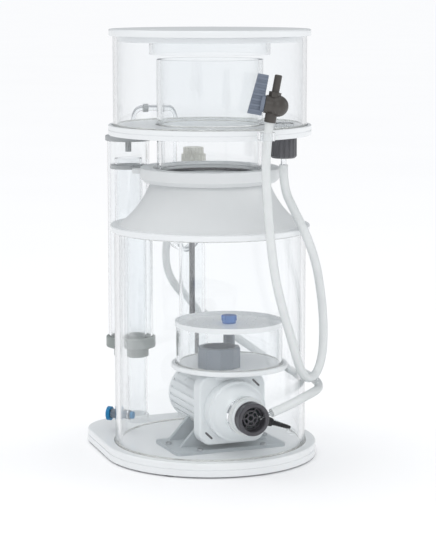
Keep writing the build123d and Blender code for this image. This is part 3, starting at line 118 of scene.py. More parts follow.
# %% Hose routes in millimetres, from the fixed end to the far end
hose_diameter = 9 * MM
drain_route = [
    (57.3, -58.7, 309),
    (57.3, -58.7, 285.5),
    (62.0, -74.5, 264),
    (68.5, -91.5, 240),
    (82.5, -84.0, 211),
    (96.0, -65.5, 184),
    (106.5, -50.5, 157),
    (109.5, -47.5, 129.5),
    (106.5, -50.5, 103.5),
    (92.5, -64.0, 87.5),
    (73.0, -81.5, 89),
    (59.5, -93.0, 108),
    (48.0, -99.5, 138),
    (36.5, -106.5, 165),
    (25.0, -112.0, 200),
    (17.5, -115.5, 243),
    (12.8, -117.5, 290),
    (11.4, -117.6, 326),
    (15.0, -119.1, 357),
]
air_route = [
    (-3.4, 111.4, 300),
    (-3.4, 111.4, 264),
    (-6.5, 115.0, 220),
    (-5.0, 127.0, 187),
    (10.0, 139.0, 160),
    (38.0, 138.5, 133),
    (66.0, 112.0, 109),
    (90.0, 77.0, 92),
    (107.0, 41.0, 80),
    (114.5, 4.0, 75),
    (110.5, -33.0, 74),
    (96.0, -66.0, 74),
    (70.5, -91.0, 74),
    (44.0, -108.5, 70),
    (21.0, -113.0, 64.5),
]


# %% Draw a hose
def draw_hose(name, route):
    """One open NURBS line through a route in millimetres, with the hose's round section."""
    curve = bpy.data.curves.new(name, "CURVE")
    curve.dimensions = "3D"
    curve.resolution_u = 16
    # Each point's radius scales the bevel, so a bevel of 1 m takes the hose's own radius at every point.
    curve.bevel_depth = 1
    curve.bevel_resolution = 8
    curve.use_fill_caps = True
    spline = curve.splines.new("NURBS")
    spline.points.add(len(route) - 1)
    for point, place in zip(spline.points, route):
        point.co = (*(Vector(place) * MM), 1)
        point.radius = hose_diameter / 2
    spline.order_u = 3
    spline.use_endpoint_u = True
    hose = bpy.data.objects.new(name, curve)
    bpy.context.collection.objects.link(hose)
    return hose


drain_line = draw_hose("drain_line", drain_route)
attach(drain_line, "cup")
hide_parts("drain_hose")

air_line = draw_hose("air_line", air_route)
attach(air_line, "skimmer")
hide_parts("air_hose")
print("hoses", drain_line.name, air_line.name)

# %% [markdown]
# ## Shapes made on a lathe
# The cement beads, the cable gland, its boot and the lever's hub are all round about one axis, so each can
# be drawn as half of its section and spun. Spinning a ring of points keeps every section clean and needs
# no boolean. The points of a new circle are moved to the section's corners, spun round the vertical axis,
# and the start and end are merged into one skin.

# %% Spin a section
merge_distance = 0.01 * MM
sharp_from = radians(40)


def deselect():
    """Clear the selection, so that the next operator works on its own piece only."""
    bpy.ops.object.select_all(action="DESELECT")


def spun(name, section, steps):
    """A closed skin from a section in millimetres, given as (radius, height) pairs round the Z axis."""
    deselect()
    bpy.ops.mesh.primitive_circle_add(vertices=len(section), radius=1, fill_type="NOTHING")
    piece = bpy.context.object
    piece.name = name
    for vertex, (radius, height) in zip(piece.data.vertices, section):
        vertex.co = Vector((radius, 0, height)) * MM
    bpy.ops.object.mode_set(mode="EDIT")
    bpy.ops.mesh.select_all(action="SELECT")
    bpy.ops.mesh.spin(steps=steps, angle=2 * pi, center=(0, 0, 0), axis=(0, 0, 1))
    bpy.ops.mesh.select_all(action="SELECT")
    bpy.ops.mesh.remove_doubles(threshold=merge_distance)
    bpy.ops.mesh.normals_make_consistent(inside=False)
    bpy.ops.object.mode_set(mode="OBJECT")
    bpy.ops.object.shade_smooth_by_angle(angle=sharp_from)
    return piece


def put(piece, origin, along):
    """Stand a piece's Z axis on an origin in millimetres, along a direction, and set that into its mesh."""
    turn = Vector(along).to_track_quat("Z", "Y").to_matrix().to_4x4()
    piece.data.transform(Matrix.Translation(Vector(origin) * MM) @ turn)
    piece.data.update()


def joined(name, pieces):
    """One piece from several."""
    deselect()
    for piece in pieces:
        piece.select_set(True)
    bpy.context.view_layer.objects.active = pieces[0]
    bpy.ops.object.join()
    pieces[0].name = name
    return pieces[0]


# %% [markdown]
# ## Beads of solvent cement
# Acrylic and PVC are welded with a runny cement, and where a tube meets a sheet the surplus sets as a small
# glossy hollow fillet. It is what makes a glued joint look glued, so each large joint gets one: two on the
# body tube, three on the cup, and one on the bubble chamber. The sections are hollow arcs, 1.6 mm tall, or
# 1.2 mm where less cement runs out: under the flange and round the bubble chamber.

# %% One cement bead
bead_size = 1.6
small_bead_size = 1.2
bead_overlap = 0.02
bead_arc_steps = 6
bead_spin_steps = 128
UP, DOWN = 1, -1


def cement_bead(name, radius, height, size=bead_size, way=UP, middle=(0, 0)):
    """A hollow fillet outside a tube, on top of a sheet or, with way DOWN, under one."""
    section = [(radius - bead_overlap, height)]
    for step in range(bead_arc_steps + 1):
        angle = step * pi / 2 / bead_arc_steps
        section.append((radius + size * (1 - sin(angle)), height + way * size * (1 - cos(angle))))
    bead = spun(name, section, bead_spin_steps)
    put(bead, (*middle, 0), (0, 0, 1))
    return bead


# %% Cement at the large joints
body_beads = [
    cement_bead("bead_body_foot", body_r, top_of("base_deck")),
    cement_bead("bead_body_top", body_r, underside_of("body_flange"), small_bead_size, DOWN),
    cement_bead("bead_chamber", chamber_r, top_of("chamber_disc"), small_bead_size, UP, chamber_middle),
]
cup_beads = [
    cement_bead("bead_cup_foot", radius_of("cup_wall"), top_of("cup_floor_upper")),
    cement_bead("bead_neck_top", neck_r, top_of("cup_floor_upper")),
    cement_bead("bead_neck_under", neck_r, underside_of("cup_floor_lower"), bead_size, DOWN),
]
body_cement = joined("body_cement", body_beads)
cup_cement = joined("cup_cement", cup_beads)
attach(body_cement, "skimmer")
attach(cup_cement, "cup")
print("cement triangles", sum(len(bead.data.polygons) * 2 for bead in (body_cement, cup_cement)))

# %% [markdown]
# ## The cable gland and its boot
# The pump's cable leaves through a rubber gland, and a boot with soft ribs keeps it from kinking. A moulder
# makes it as one round piece that thins towards the cable, with rounded ribs. The ribs are drawn in the
# section: seven swellings, each 0.45 mm proud of the taper.

# %% Sections of the gland and the boot, in millimetres
lathe_steps = 48
gland_section = [(0, 94), (4.1, 94), (4.5, 94.4), (4.5, 102.6), (4.2, 103.5), (3.5, 104), (0, 104)]
boot_rib_count = 7
first_rib = 1.5
rib_pitch = 2.6
rib_length = 1.6
rib_proud = 0.45
shoulder_proud = 0.35
boot_root_r = 2.45
taper_per_rib = 0.11
boot_section = [(0, -1), (2.6, -1)]
for rib in range(boot_rib_count):
    rib_start = first_rib + rib * rib_pitch
    taper_r = boot_root_r - rib * taper_per_rib
    boot_section.append((taper_r, rib_start))
    boot_section.append((taper_r + shoulder_proud, rib_start + rib_length / 4))
    boot_section.append((taper_r + rib_proud, rib_start + rib_length / 2))
    boot_section.append((taper_r + shoulder_proud, rib_start + rib_length * 3 / 4))
    boot_section.append((taper_r, rib_start + rib_length))
boot_section += [(1.7, 20.5), (1.65, 21.6), (1.3, 22), (0, 22)]
print("corners: gland", len(gland_section), "boot", len(boot_section))

# %% Gland and ribbed boot
gland_height = 52
boot_reach = 102
gland_way = Vector((26, -100, 0)).normalized()
boot_way = Vector((0.93, -0.22, -0.3)).normalized()
gland_foot = Vector((0, 0, gland_height))
gland = spun("gland", gland_section, lathe_steps)
put(gland, gland_foot, gland_way)
boot = spun("boot", boot_section, lathe_steps)
put(boot, gland_foot + gland_way * boot_reach, boot_way)
cable_boot = joined("cable_boot", [gland, boot])
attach(cable_boot, "skimmer")
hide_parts("cable_gland")
print("boot box (mm)", [round(size / MM, 1) for size in cable_boot.dimensions])

# %% [markdown]
# ## The tap's lever
# The lever is a moulded paddle that a wet thumb can turn: wider at its foot than at its tip, with raised
# bars across both faces and all its edges rounded. It starts as a block whose long edges are cut into equal
# lengths, every second length is raised as a bar, the paddle is drawn in towards the tip, and then a bevel
# rounds it. A round hub and a stem join it to the tap. It is shaped lying along X and then turned to the
# tap: its length follows the water's way and its width stands out along the key.

# %% A paddle with raised bars
paddle_length = 40
paddle_thick = 5.4
paddle_width = 12.6
paddle_start = -12
paddle_foot = 9.3
bar_count = 7
bar_proud = 1.4
bar_edge = 0.25
foot_flare = 1.6
tip_pinch = 2.0
paddle_round = 0.45
deselect()
bpy.ops.mesh.primitive_cube_add(size=1)
paddle = bpy.context.object
paddle_middle = Vector((paddle_start + paddle_length / 2, 0, paddle_foot + paddle_width / 2))
for vertex in paddle.data.vertices:
    corner = Vector((paddle_length * vertex.co.x, paddle_thick * vertex.co.y, paddle_width * vertex.co.z))
    vertex.co = (paddle_middle + corner) * MM
bpy.ops.object.mode_set(mode="EDIT")
paddle_mesh = bmesh.from_edit_mesh(paddle.data)
for edge in paddle_mesh.edges:
    run_along = edge.verts[1].co - edge.verts[0].co
    edge.select_set(abs(run_along.x) > paddle_length / 2 * MM)
bmesh.update_edit_mesh(paddle.data)
bpy.ops.mesh.subdivide(number_cuts=2 * bar_count)
paddle_mesh = bmesh.from_edit_mesh(paddle.data)
paddle_mesh.faces.ensure_lookup_table()
stripe = paddle_length * MM / (2 * bar_count + 1)
for face in paddle_mesh.faces:
    stripe_number = int((face.calc_center_median().x - paddle_start * MM) / stripe)
    on_broad_side = abs(face.normal.y) > 0.9
    face.select_set(on_broad_side and stripe_number % 2 == 1)
bmesh.update_edit_mesh(paddle.data)
bpy.ops.mesh.inset(thickness=bar_edge * MM, depth=bar_proud * MM, use_individual=True)
bpy.ops.object.mode_set(mode="OBJECT")

# %% Draw the paddle in towards its tip and round it
for vertex in paddle.data.vertices:
    towards_tip = (vertex.co.x - paddle_start * MM) / (paddle_length * MM)
    outwards = max(0, (vertex.co.z - paddle_foot * MM) / (paddle_width * MM))
    vertex.co.z += outwards * (foot_flare - (foot_flare + tip_pinch) * towards_tip) * MM
bevel = paddle.modifiers.new("round", "BEVEL")
bevel.width = paddle_round * MM
bevel.segments = 2
bevel.limit_method = "ANGLE"
bevel.angle_limit = radians(35)
bpy.ops.object.modifier_apply(modifier=bevel.name)
bpy.ops.object.shade_smooth_by_angle(angle=sharp_from)
print("paddle box (mm)", [round(size / MM, 1) for size in paddle.dimensions])

# %% Hub, stem and the lever's place on the tap
hub_section = [(0, 8.3), (8.1, 8.3), (8.5, 8.7), (8.5, 11.4), (7.7, 12.3), (0, 12.3)]
stem_section = [(0, -2), (5.4, -2), (5.9, -1.5), (5.9, 8.4), (0, 8.4)]
hub = spun("hub", hub_section, lathe_steps)
stem = spun("stem", stem_section, lathe_steps)
tap_grip = joined("tap_grip", [paddle, hub, stem])
tap_lean = radians(10.5)
tap_turn = radians(-22)
tap_middle = Vector((17.9, -120.5, 374))
tap_flow = Vector((sin(tap_lean) * cos(tap_turn), sin(tap_lean) * sin(tap_turn), cos(tap_lean)))
tap_key = Vector((-cos(tap_lean) * cos(tap_turn), -cos(tap_lean) * sin(tap_turn), sin(tap_lean)))
key_turn = Matrix((tap_flow, tap_key.cross(tap_flow), tap_key)).transposed().to_4x4()
tap_grip.data.transform(Matrix.Translation(tap_middle * MM) @ key_turn)
tap_grip.data.update()
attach(tap_grip, "lever")
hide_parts("tap_lever")
print("lever box (mm)", [round(size / MM, 1) for size in tap_grip.dimensions])

# %% [markdown]
# ## The casing's catches
# Two slots in the pump's face show the dark catches that hold its cover. Each is a rounded key that sits
# a little below the face, so that the slot keeps its shadow line. A cylinder whose two halves are pulled
# apart gives the key's round ends, and a small bevel breaks its edges.

# %% Dark keys in the pump's slots
key_length = 10.8
key_width = 2
key_depth = 1.6
key_round = 0.2
key_straight = (key_length - key_width) / 2
key_middle_y = -59.6
slot_reach = 36.5
pump_height = 60
slot_angles = {"catch_upper": radians(45), "catch_lower": radians(225)}
catches = []
for name, angle in slot_angles.items():
    deselect()
    bpy.ops.mesh.primitive_cylinder_add(vertices=32, radius=0.5, depth=1)
    catch = bpy.context.object
    catch.name = name
    for vertex in catch.data.vertices:
        pulled = key_straight if vertex.co.x > 0 else -key_straight
        along = vertex.co.x * key_width + pulled
        vertex.co = Vector((along, vertex.co.y * key_width, vertex.co.z * key_depth)) * MM
    bpy.ops.object.mode_set(mode="EDIT")
    bpy.ops.mesh.select_all(action="SELECT")
    bpy.ops.mesh.bevel(offset=key_round * MM, segments=2, affect="EDGES")
    bpy.ops.object.mode_set(mode="OBJECT")
    bpy.ops.object.shade_smooth_by_angle(angle=sharp_from)
    turn = Matrix.Rotation(radians(90), 4, "X") @ Matrix.Rotation(angle + radians(90), 4, "Z")
    place = Vector((cos(angle) * slot_reach, key_middle_y, pump_height + sin(angle) * slot_reach)) * MM
    catch.data.transform(Matrix.Translation(place) @ turn)
    catch.data.update()
    catches.append(catch)
casing_catches = joined("casing_catches", catches)
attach(casing_catches, "skimmer")
print("catches box (mm)", [round(size / MM, 1) for size in casing_catches.dimensions])

# %% [markdown]
# ## Small helpers for materials
# Colours are written as the hex values that a paint chart gives, and one function turns them to the linear
# values that a renderer works in. One more function adds a node, sets its values and links its inputs, so
# each material below reads as a short recipe.

# %% Material helpers
def linear(code):
    """The linear RGBA of an sRGB hex colour."""
    shares = [int(code[start:start + 2], 16) / 255 for start in (1, 3, 5)]
    lights = [share / 12.92 if share <= 0.04045 else ((share + 0.055) / 1.055) ** 2.4 for share in shares]
    return (*lights, 1)


def add_node(owner, kind, inputs=None, **settings):
    """Add a node to a material or a world. An input is given a value, or another node's output to link."""
    node = owner.node_tree.nodes.new(kind)
    for setting, value in settings.items():
        setattr(node, setting, value)
    for socket, value in (inputs or {}).items():
        if isinstance(value, bpy.types.NodeSocket):
            owner.node_tree.links.new(value, node.inputs[socket])
        else:
            node.inputs[socket].default_value = value
    return node


def new_material(name, **sockets):
    """A material with its Principled shader, and the uniform values set on the shader's own sockets."""
    material = bpy.data.materials.new(name)
    material.use_nodes = True
    shader = material.node_tree.nodes["Principled BSDF"]
    for socket, value in sockets.items():
        shader.inputs[socket.replace("_", " ").title().replace("Ior", "IOR")].default_value = value
    return material, shader


# %% [markdown]
# ## Solid plastics
# Most solid pieces are one of a few plastics. What tells them apart is how they were made. Sheet PVC is
# pressed and has a slow, soft waviness. Injection-moulded ABS copies the fine spark texture of its mould.
# Turned pieces keep the tool's rings. One function makes all of these from two close colours, a blotch
# size, a grain size and a roughness range, because only the numbers differ. A mould's spark grain is about
# 0.05 mm and a lathe's rings about 0.1 mm, both too fine to show here, so they are drawn at 1 to 3 mm.

# %% A plastic from its making
def plastic(name, pale, deep, blotch_mm, grain_mm, grain_depth_mm, rough, stretch=(1, 1, 1), **sockets):
    """Two close colours in soft blotches, roughness that follows them, and a fine grain as bump."""
    material, shader = new_material(name, **sockets)
    place = add_node(material, "ShaderNodeTexCoord")
    run = add_node(material, "ShaderNodeMapping", {"Vector": place.outputs["Object"], "Scale": stretch})
    blotch_inputs = {"Vector": run.outputs["Vector"], "Scale": 1 / (blotch_mm * MM), "Detail": 3.0}
    blotch = add_node(material, "ShaderNodeTexNoise", blotch_inputs)
    colour_inputs = {0: blotch.outputs["Fac"], 6: linear(pale), 7: linear(deep)}
    colour = add_node(material, "ShaderNodeMix", colour_inputs, data_type="RGBA")
    roughness_inputs = {"Value": blotch.outputs["Fac"], "To Min": rough[0], "To Max": rough[1]}
    roughness = add_node(material, "ShaderNodeMapRange", roughness_inputs)
    grain_inputs = {"Vector": run.outputs["Vector"], "Scale": 1 / (grain_mm * MM), "Detail": 2.0}
    grain = add_node(material, "ShaderNodeTexNoise", grain_inputs)
    bump_inputs = {"Height": grain.outputs["Fac"], "Strength": 1.0, "Distance": grain_depth_mm * MM}
    bump = add_node(material, "ShaderNodeBump", bump_inputs)
    links = material.node_tree.links
    links.new(colour.outputs[2], shader.inputs["Base Color"])
    links.new(roughness.outputs["Result"], shader.inputs["Roughness"])
    links.new(bump.outputs["Normal"], shader.inputs["Normal"])
    return material


# %% PVC: pressed, formed, turned and moulded
# Pressed PVC sheet: nearly white, with a soft sheen and a slow waviness that bends its reflections.
white_pvc = plastic(
    "white_pvc_sheet_pressed", "#EEF0F1", "#E5E8EA",
    blotch_mm=60, grain_mm=14, grain_depth_mm=0.03, rough=(0.2, 0.3), ior=1.53,
)
# Formed PVC: the flared cone and the ring are a little greyer and more satin than the sheet.
formed_pvc = plastic(
    "light_grey_pvc_formed", "#E0E2E3", "#D6D9DA",
    blotch_mm=45, grain_mm=9, grain_depth_mm=0.03, rough=(0.34, 0.44), ior=1.53,
)
# Turned PVC: a flat grey whose grain is squeezed along the height, as the rings of a lathe tool are.
cap_pvc = plastic(
    "mid_grey_pvc_turned", "#A9ACAE", "#9CA0A2",
    blotch_mm=20, grain_mm=3, grain_depth_mm=0.02, rough=(0.32, 0.42), stretch=(1, 1, 6), ior=1.53,
)
# The same turned PVC in a cooler, faintly green grey, for the collar round the silencer.
collar_pvc = plastic(
    "greenish_grey_pvc_turned", "#929896", "#858C8A",
    blotch_mm=20, grain_mm=3, grain_depth_mm=0.02, rough=(0.35, 0.45), stretch=(1, 1, 6),
)
# Moulded dark PVC: a nearly matt nut and rod, with just enough grain to break the highlight.
dark_pvc = plastic(
    "dark_grey_pvc_moulded", "#5F5F63", "#505054",
    blotch_mm=12, grain_mm=1.5, grain_depth_mm=0.03, rough=(0.36, 0.48), ior=1.53,
)
# Moulded union fittings: the blue-grey of pressure pipe, with a soft satin highlight.
union_pvc = plastic(
    "blue_grey_pvc_moulded", "#737D88", "#656F7A",
    blotch_mm=14, grain_mm=1.8, grain_depth_mm=0.03, rough=(0.3, 0.42), ior=1.53,
)
print("PVC", [finish.name for finish in (white_pvc, formed_pvc, cap_pvc, collar_pvc, dark_pvc, union_pvc)])

# %% ABS: the pump's housings
# Injection-moulded ABS: cool white, glossier than PVC, with the fine spark grain of its mould.
white_abs = plastic(
    "white_abs_moulded", "#E4E8EA", "#DADFE1",
    blotch_mm=30, grain_mm=1.2, grain_depth_mm=0.02, rough=(0.24, 0.34), ior=1.54,
)
# The bracket's ABS: a mid grey with a coarser mould, so it looks duller than the pump on it.
grey_abs = plastic(
    "cool_grey_abs_moulded", "#B4BBBF", "#A7AFB3",
    blotch_mm=25, grain_mm=1.2, grain_depth_mm=0.03, rough=(0.34, 0.46), ior=1.54,
)
# The inlet's ABS: charcoal, where the gloss on each rib's edge is what shows its shape.
dark_abs = plastic(
    "charcoal_abs_moulded", "#4C4B50", "#3E3D42",
    blotch_mm=9, grain_mm=1.0, grain_depth_mm=0.04, rough=(0.3, 0.42), ior=1.54,
)
print("ABS", white_abs.name, grey_abs.name, dark_abs.name)

# %% Polypropylene and acetal: knobs and the tap
# Natural polypropylene: a warm, waxy pale grey that scatters its highlight widely.
pale_pp = plastic(
    "pale_grey_polypropylene_moulded", "#D3D2CA", "#C6C5BC",
    blotch_mm=14, grain_mm=1.5, grain_depth_mm=0.03, rough=(0.4, 0.5), ior=1.49,
)
# Blue polypropylene: one strong clean colour, which marks the knob that a hand looks for.
blue_pp = plastic(
    "blue_polypropylene_moulded", "#1B86BB", "#12709F",
    blotch_mm=8, grain_mm=1.0, grain_depth_mm=0.03, rough=(0.28, 0.38), ior=1.49,
)
# Black acetal: a warm near-black with a slippery satin surface, as tap bodies have.
tap_pom = plastic(
    "black_acetal_moulded", "#504C48", "#403D3A",
    blotch_mm=8, grain_mm=1.0, grain_depth_mm=0.03, rough=(0.34, 0.46), ior=1.48,
)
# The lever's polypropylene: a slate blue-grey, dull enough for its bars to read as light and shade.
lever_pp = plastic(
    "slate_blue_polypropylene_moulded", "#7C8594", "#697281",
    blotch_mm=9, grain_mm=1.0, grain_depth_mm=0.04, rough=(0.4, 0.52), ior=1.49,
)
print("knobs and tap", pale_pp.name, blue_pp.name, tap_pom.name, lever_pp.name)

# %% Rubber and the motor's inner materials
# Moulded EPDM rubber: black and nearly matt, so only its round edges catch any light.
epdm = plastic(
    "black_epdm_rubber_moulded", "#262628", "#1B1B1D",
    blotch_mm=10, grain_mm=0.9, grain_depth_mm=0.05, rough=(0.55, 0.7), ior=1.5,
)
# Cast epoxy potting: black with a glassy, slightly sunken surface round the motor's windings.
potting = plastic(
    "black_epoxy_potting_cast", "#232326", "#19191B",
    blotch_mm=20, grain_mm=5, grain_depth_mm=0.05, rough=(0.2, 0.35), ior=1.55,
)
# Sintered ferrite: a dark grey ceramic magnet with a dry, even sheen.
ferrite = plastic(
    "ferrite_magnet_sintered", "#3A3A3E", "#2C2C30",
    blotch_mm=6, grain_mm=0.8, grain_depth_mm=0.03, rough=(0.35, 0.5), ior=1.6,
)
# Ground alumina: an ivory-white shaft with a hard, bright shine and fine marks along it.
alumina = plastic(
    "alumina_ceramic_ground", "#F3F0E8", "#EAE6DC",
    blotch_mm=5, grain_mm=0.6, grain_depth_mm=0.01, rough=(0.12, 0.2), stretch=(1, 8, 1), ior=1.76,
)
print("inner materials", epdm.name, potting.name, ferrite.name, alumina.name)

# %% [markdown]
# ## Clear acrylic
# Cast acrylic is clearer than window glass and has an index of 1.49. Its tubes show only by their bright
# and dark edge lines, where the wall is seen edge on, and by faint lengthwise waves from the casting. A
# renderer would cast a grey shadow behind such a tube and darken what stands inside it, so rays on their
# way to a lamp, and rays that a dull surface has sent out, pass straight through a plain transparent
# shader instead, a little tinted. Where the wall is seen edge on, a grey edge colour is painted into it as
# shade, for the dark edge lines.

# %% A see-through plastic from its making
def see_through(
    name, pale, deep, edge, edge_shade_power, blotch_mm, wave_mm, wave_depth_mm, lamp_tint,
    stretch=(1, 1, 1), **sockets
):
    """A clear plastic with slow waves, painted darker as shade where it is seen edge on, that lets the lamps'
    light through.
    """
    material, shader = new_material(name, **sockets)
    place = add_node(material, "ShaderNodeTexCoord")
    run = add_node(material, "ShaderNodeMapping", {"Vector": place.outputs["Object"], "Scale": stretch})
    tint_inputs = {"Vector": run.outputs["Vector"], "Scale": 1 / (blotch_mm * MM)}
    tint = add_node(material, "ShaderNodeTexNoise", tint_inputs)
    colour_inputs = {0: tint.outputs["Fac"], 6: linear(pale), 7: linear(deep)}
    colour = add_node(material, "ShaderNodeMix", colour_inputs, data_type="RGBA")
    # Painted shade: the more nearly edge on a face is seen, the more of the edge colour goes into its base
    # colour, to draw the dark lines along the walls.
    grazing = add_node(material, "ShaderNodeLayerWeight", {"Blend": 0.5})
    edge_shade_share_inputs = {0: grazing.outputs["Facing"], 1: edge_shade_power}
    edge_shade_share = add_node(material, "ShaderNodeMath", edge_shade_share_inputs, operation="POWER")
    painted_edge_shade_colour_inputs = {0: edge_shade_share.outputs[0], 6: colour.outputs[2], 7: linear(edge)}
    painted_edge_shade_colour = add_node(material, "ShaderNodeMix", painted_edge_shade_colour_inputs, data_type="RGBA")
    wave_inputs = {"Vector": run.outputs["Vector"], "Scale": 1 / (wave_mm * MM)}
    wave = add_node(material, "ShaderNodeTexNoise", wave_inputs)
    bump_inputs = {"Height": wave.outputs["Fac"], "Strength": 1.0, "Distance": wave_depth_mm * MM}
    bump = add_node(material, "ShaderNodeBump", bump_inputs)
    links = material.node_tree.links
    links.new(painted_edge_shade_colour.outputs[2], shader.inputs["Base Color"])
    links.new(bump.outputs["Normal"], shader.inputs["Normal"])
    lamp_way = add_node(material, "ShaderNodeBsdfTransparent", {"Color": linear(lamp_tint)})
    rays = add_node(material, "ShaderNodeLightPath")
    bounced_inputs = {0: rays.outputs["Is Diffuse Ray"], 1: shader.outputs[0], 2: lamp_way.outputs[0]}
    bounced = add_node(material, "ShaderNodeMixShader", bounced_inputs)
    lit_inputs = {0: rays.outputs["Is Shadow Ray"], 1: bounced.outputs[0], 2: lamp_way.outputs[0]}
    lit = add_node(material, "ShaderNodeMixShader", lit_inputs)
    links.new(lit.outputs[0], material.node_tree.nodes["Material Output"].inputs["Surface"])
    return material


# %% Acrylic, polycarbonate, silicone and cement
# Cast acrylic tube: water clear with a perfect polish, so its edges are all that the eye finds.
# Seen edge on, the tube is painted a mid grey as shade.
clear_acrylic = see_through(
    "clear_acrylic_cast", "#FDFEFE", "#FAFBFC", edge="#80868A", edge_shade_power=4.0,
    blotch_mm=50, wave_mm=60, wave_depth_mm=0.002, stretch=(1, 1, 0.1), lamp_tint="#FEFEFE",
    transmission_weight=1.0, ior=1.49, roughness=0.0,
)
# Moulded blue polycarbonate: light sinks in and glows, with a deeper blue painted as shade where the knob is
# seen edge on.
clear_blue = see_through(
    "translucent_blue_polycarbonate_moulded", "#8FB6EA", "#6E9BDC", edge="#4E7CC4", edge_shade_power=3.0,
    blotch_mm=6, wave_mm=4, wave_depth_mm=0.02, lamp_tint="#A9C4EC",
    transmission_weight=0.75, ior=1.58, roughness=0.12,
)
# Extruded silicone: milky, soft to the eye, with a grey shade painted down each side of the hose, where it is
# seen edge on.
milky_silicone = see_through(
    "milky_silicone_extruded", "#EDEFEF", "#E3E6E6", edge="#C4C8C9", edge_shade_power=2.0,
    blotch_mm=12, wave_mm=5, wave_depth_mm=0.03, lamp_tint="#E9EBEB",
    transmission_weight=0.35, ior=1.41, roughness=0.3,
)
# Cured solvent cement: glossy and slightly rippled, a thin bright line along each joint.
# Seen edge on, the cement is painted a darker grey as shade.
clear_cement = see_through(
    "clear_solvent_cement_cured", "#FAFAF8", "#F1F2F0", edge="#A5A9AB", edge_shade_power=3.0,
    blotch_mm=6, wave_mm=2, wave_depth_mm=0.02, lamp_tint="#F4F4F2",
    transmission_weight=0.85, ior=1.48, roughness=0.05,
)
print("see-through", clear_acrylic.name, clear_blue.name, milky_silicone.name, clear_cement.name)

# %% Stainless steel
ring_spacing_mm = 0.8


def turned_steel():
    """Cold-headed stainless steel: bright and cool, with fine rings left by the tool."""
    material, shader = new_material("stainless_steel_turned", metallic=1.0)
    place = add_node(material, "ShaderNodeTexCoord")
    # The tool's real rings are about 0.1 mm apart, too fine to show, so they are drawn wider.
    rings_inputs = {"Vector": place.outputs["Object"], "Scale": 1 / (ring_spacing_mm * MM), "Distortion": 0.4}
    rings = add_node(material, "ShaderNodeTexWave", rings_inputs, wave_type="RINGS", rings_direction="Z")
    colour_inputs = {0: rings.outputs["Fac"], 6: linear("#C6C8CA"), 7: linear("#B2B5B8")}
    colour = add_node(material, "ShaderNodeMix", colour_inputs, data_type="RGBA")
    roughness_inputs = {"Value": rings.outputs["Fac"], "To Min": 0.22, "To Max": 0.34}
    roughness = add_node(material, "ShaderNodeMapRange", roughness_inputs)
    material.node_tree.links.new(colour.outputs[2], shader.inputs["Base Color"])
    material.node_tree.links.new(roughness.outputs["Result"], shader.inputs["Roughness"])
    return material


steel = turned_steel()
print("steel", steel.name)

# %% [markdown]
# ## Finishes on the rigid pieces
# The shapes of these pieces are right as they are, so only their material changes. One table says which
# finish each piece wears, so that pieces cut from the same stock always match. The new pieces follow it.

# %% Give every rigid piece its finish
finishes = {
    white_pvc: (
        "base_plate", "base_deck", "pipe_feet", "body_flange", "cup_floor_lower", "cup_floor_upper",
        "lid_plate", "outlet_cap", "chamber_disc", "bubble_plate",
    ),
    formed_pvc: ("body_cone", "locking_ring"),
    clear_acrylic: (
        "body_tube", "neck_tube", "cup_wall", "cup_drain_fitting", "lid_collar", "silencer_pipe",
        "silencer_tube", "silencer_arch", "outlet_pipe", "outlet_spout", "air_nozzle", "chamber_wall",
        "hose_clip",
    ),
    cap_pvc: ("silencer_cap", "silencer_spacer", "arch_joint"),
    collar_pvc: ("silencer_collar",),
    dark_pvc: ("cup_drain_nut", "regulator_rod", "regulator_plug"),
    union_pvc: ("union_nut", "chamber_post", "drain_stub"),
    white_abs: ("pump_barrel", "pump_casing", "pump_volute", "needle_wheel"),
    grey_abs: ("pump_bracket",),
    dark_abs: ("pump_inlet", "inlet_strainer"),
    pale_pp: ("regulator_knob",),
    blue_pp: ("drain_knob",),
    clear_blue: ("plate_knob",),
    tap_pom: ("tap_body",),
    lever_pp: ("tap_lever",),
    epdm: ("base_feet", "neck_seal", "shaft_bushes", "cable_gland"),
    potting: ("pump_stator",),
    ferrite: ("rotor_magnet",),
    alumina: ("pump_shaft",),
    steel: ("bracket_screws",),
    milky_silicone: ("drain_hose", "air_hose", "inlet_grommet"),
}


def wear(piece, material):
    """Give a piece one material in its only slot."""
    piece.data.materials.clear()
    piece.data.materials.append(material)


for finish, nodes in finishes.items():
    for node in nodes:
        wear(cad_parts[node], finish)
wear(body_cement, clear_cement)
wear(cup_cement, clear_cement)
wear(cable_boot, epdm)
wear(tap_grip, lever_pp)
wear(casing_catches, dark_abs)
wear(drain_line, milky_silicone)
wear(air_line, milky_silicone)
unfinished = set(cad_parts) - {node for nodes in finishes.values() for node in nodes}
print("pieces left without a finish:", sorted(unfinished))

# %% [markdown]
# ## The studio
# The floor is a pale board so wide that its far edge meets the horizon. A big soft lamp stands in front, a
# smaller one to the right, and a wide scrim lights everything from overhead. The surroundings are a plain
# dome: nearly white where the camera looks straight at it, a shade darker for the light that it gives, and
# mid grey for what gloss and clear plastic pick up, which is what draws the edge lines of the tubes.

# %% Floor
floor_size = 200
deselect()
bpy.ops.mesh.primitive_plane_add(size=floor_size, location=(0, 0, cad_box[0][2]))
floor = bpy.context.object
floor.name = "floor"
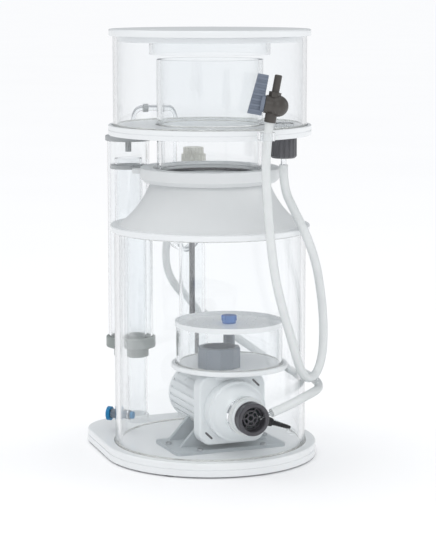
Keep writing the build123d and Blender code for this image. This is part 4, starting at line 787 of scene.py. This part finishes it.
# Painted studio board: matt and even, so that the skimmer's soft shadow is all that it shows.
studio_board = plastic(
    "pale_studio_board_painted", "#F9F9FA", "#F6F6F7",
    blotch_mm=600, grain_mm=40, grain_depth_mm=0.02, rough=(0.3, 0.36), specular_ior_level=0.0,
)
wear(floor, studio_board)
print("floor", floor_size, "m wide, top at", floor.location.z)


# %% Lamps
def soft_lamp(name, place, size, power):
    """A square soft box, in metres and watts, that faces the skimmer's middle."""
    lamp_data = bpy.data.lights.new(name, "AREA")
    lamp_data.size = size
    lamp_data.energy = power
    lamp = bpy.data.objects.new(name, lamp_data)
    bpy.context.collection.objects.link(lamp)
    lamp.location = place
    lamp.rotation_euler = (skimmer_middle - lamp.location).to_track_quat("-Z", "Y").to_euler()
    return lamp


skimmer_middle = Vector((0, 0, 0.2))
soft_lamp("front_softbox", (-0.9, -2.2, 1.6), size=1.0, power=10)
soft_lamp("right_softbox", (1.7, -0.6, 0.9), size=0.7, power=4)

scrim_data = bpy.data.lights.new("overhead_scrim", "SUN")
scrim_data.energy = 0.95
scrim_data.angle = radians(70)
scrim = bpy.data.objects.new("overhead_scrim", scrim_data)
bpy.context.collection.objects.link(scrim)
scrim.rotation_euler = (radians(-12), radians(-10), 0)

# %% Surroundings
world = bpy.data.worlds.new("studio")
world.use_nodes = True
bpy.context.scene.world = world
rays = add_node(world, "ShaderNodeLightPath")
seen_or_lit_inputs = {0: rays.outputs["Is Diffuse Ray"], 6: linear("#FAFAFB"), 7: linear("#DFE0E1")}
seen_or_lit = add_node(world, "ShaderNodeMix", seen_or_lit_inputs, data_type="RGBA")
dome_inputs = {0: rays.outputs["Is Glossy Ray"], 6: seen_or_lit.outputs[2], 7: linear("#8F9398")}
dome = add_node(world, "ShaderNodeMix", dome_inputs, data_type="RGBA")
background = world.node_tree.nodes["Background"]
background.inputs["Strength"].default_value = 1.0
world.node_tree.links.new(dome.outputs[2], background.inputs["Color"])
print("surroundings", world.name)

# %% Tone and light paths
# A ray crosses up to a dozen clear walls, so the bounce limits are raised until no wall turns dark.
bpy.context.scene.view_settings.view_transform = "Standard"
bpy.context.scene.cycles.max_bounces = 32
bpy.context.scene.cycles.transmission_bounces = 32
bpy.context.scene.cycles.transparent_max_bounces = 48
print("view transform", bpy.context.scene.view_settings.view_transform)
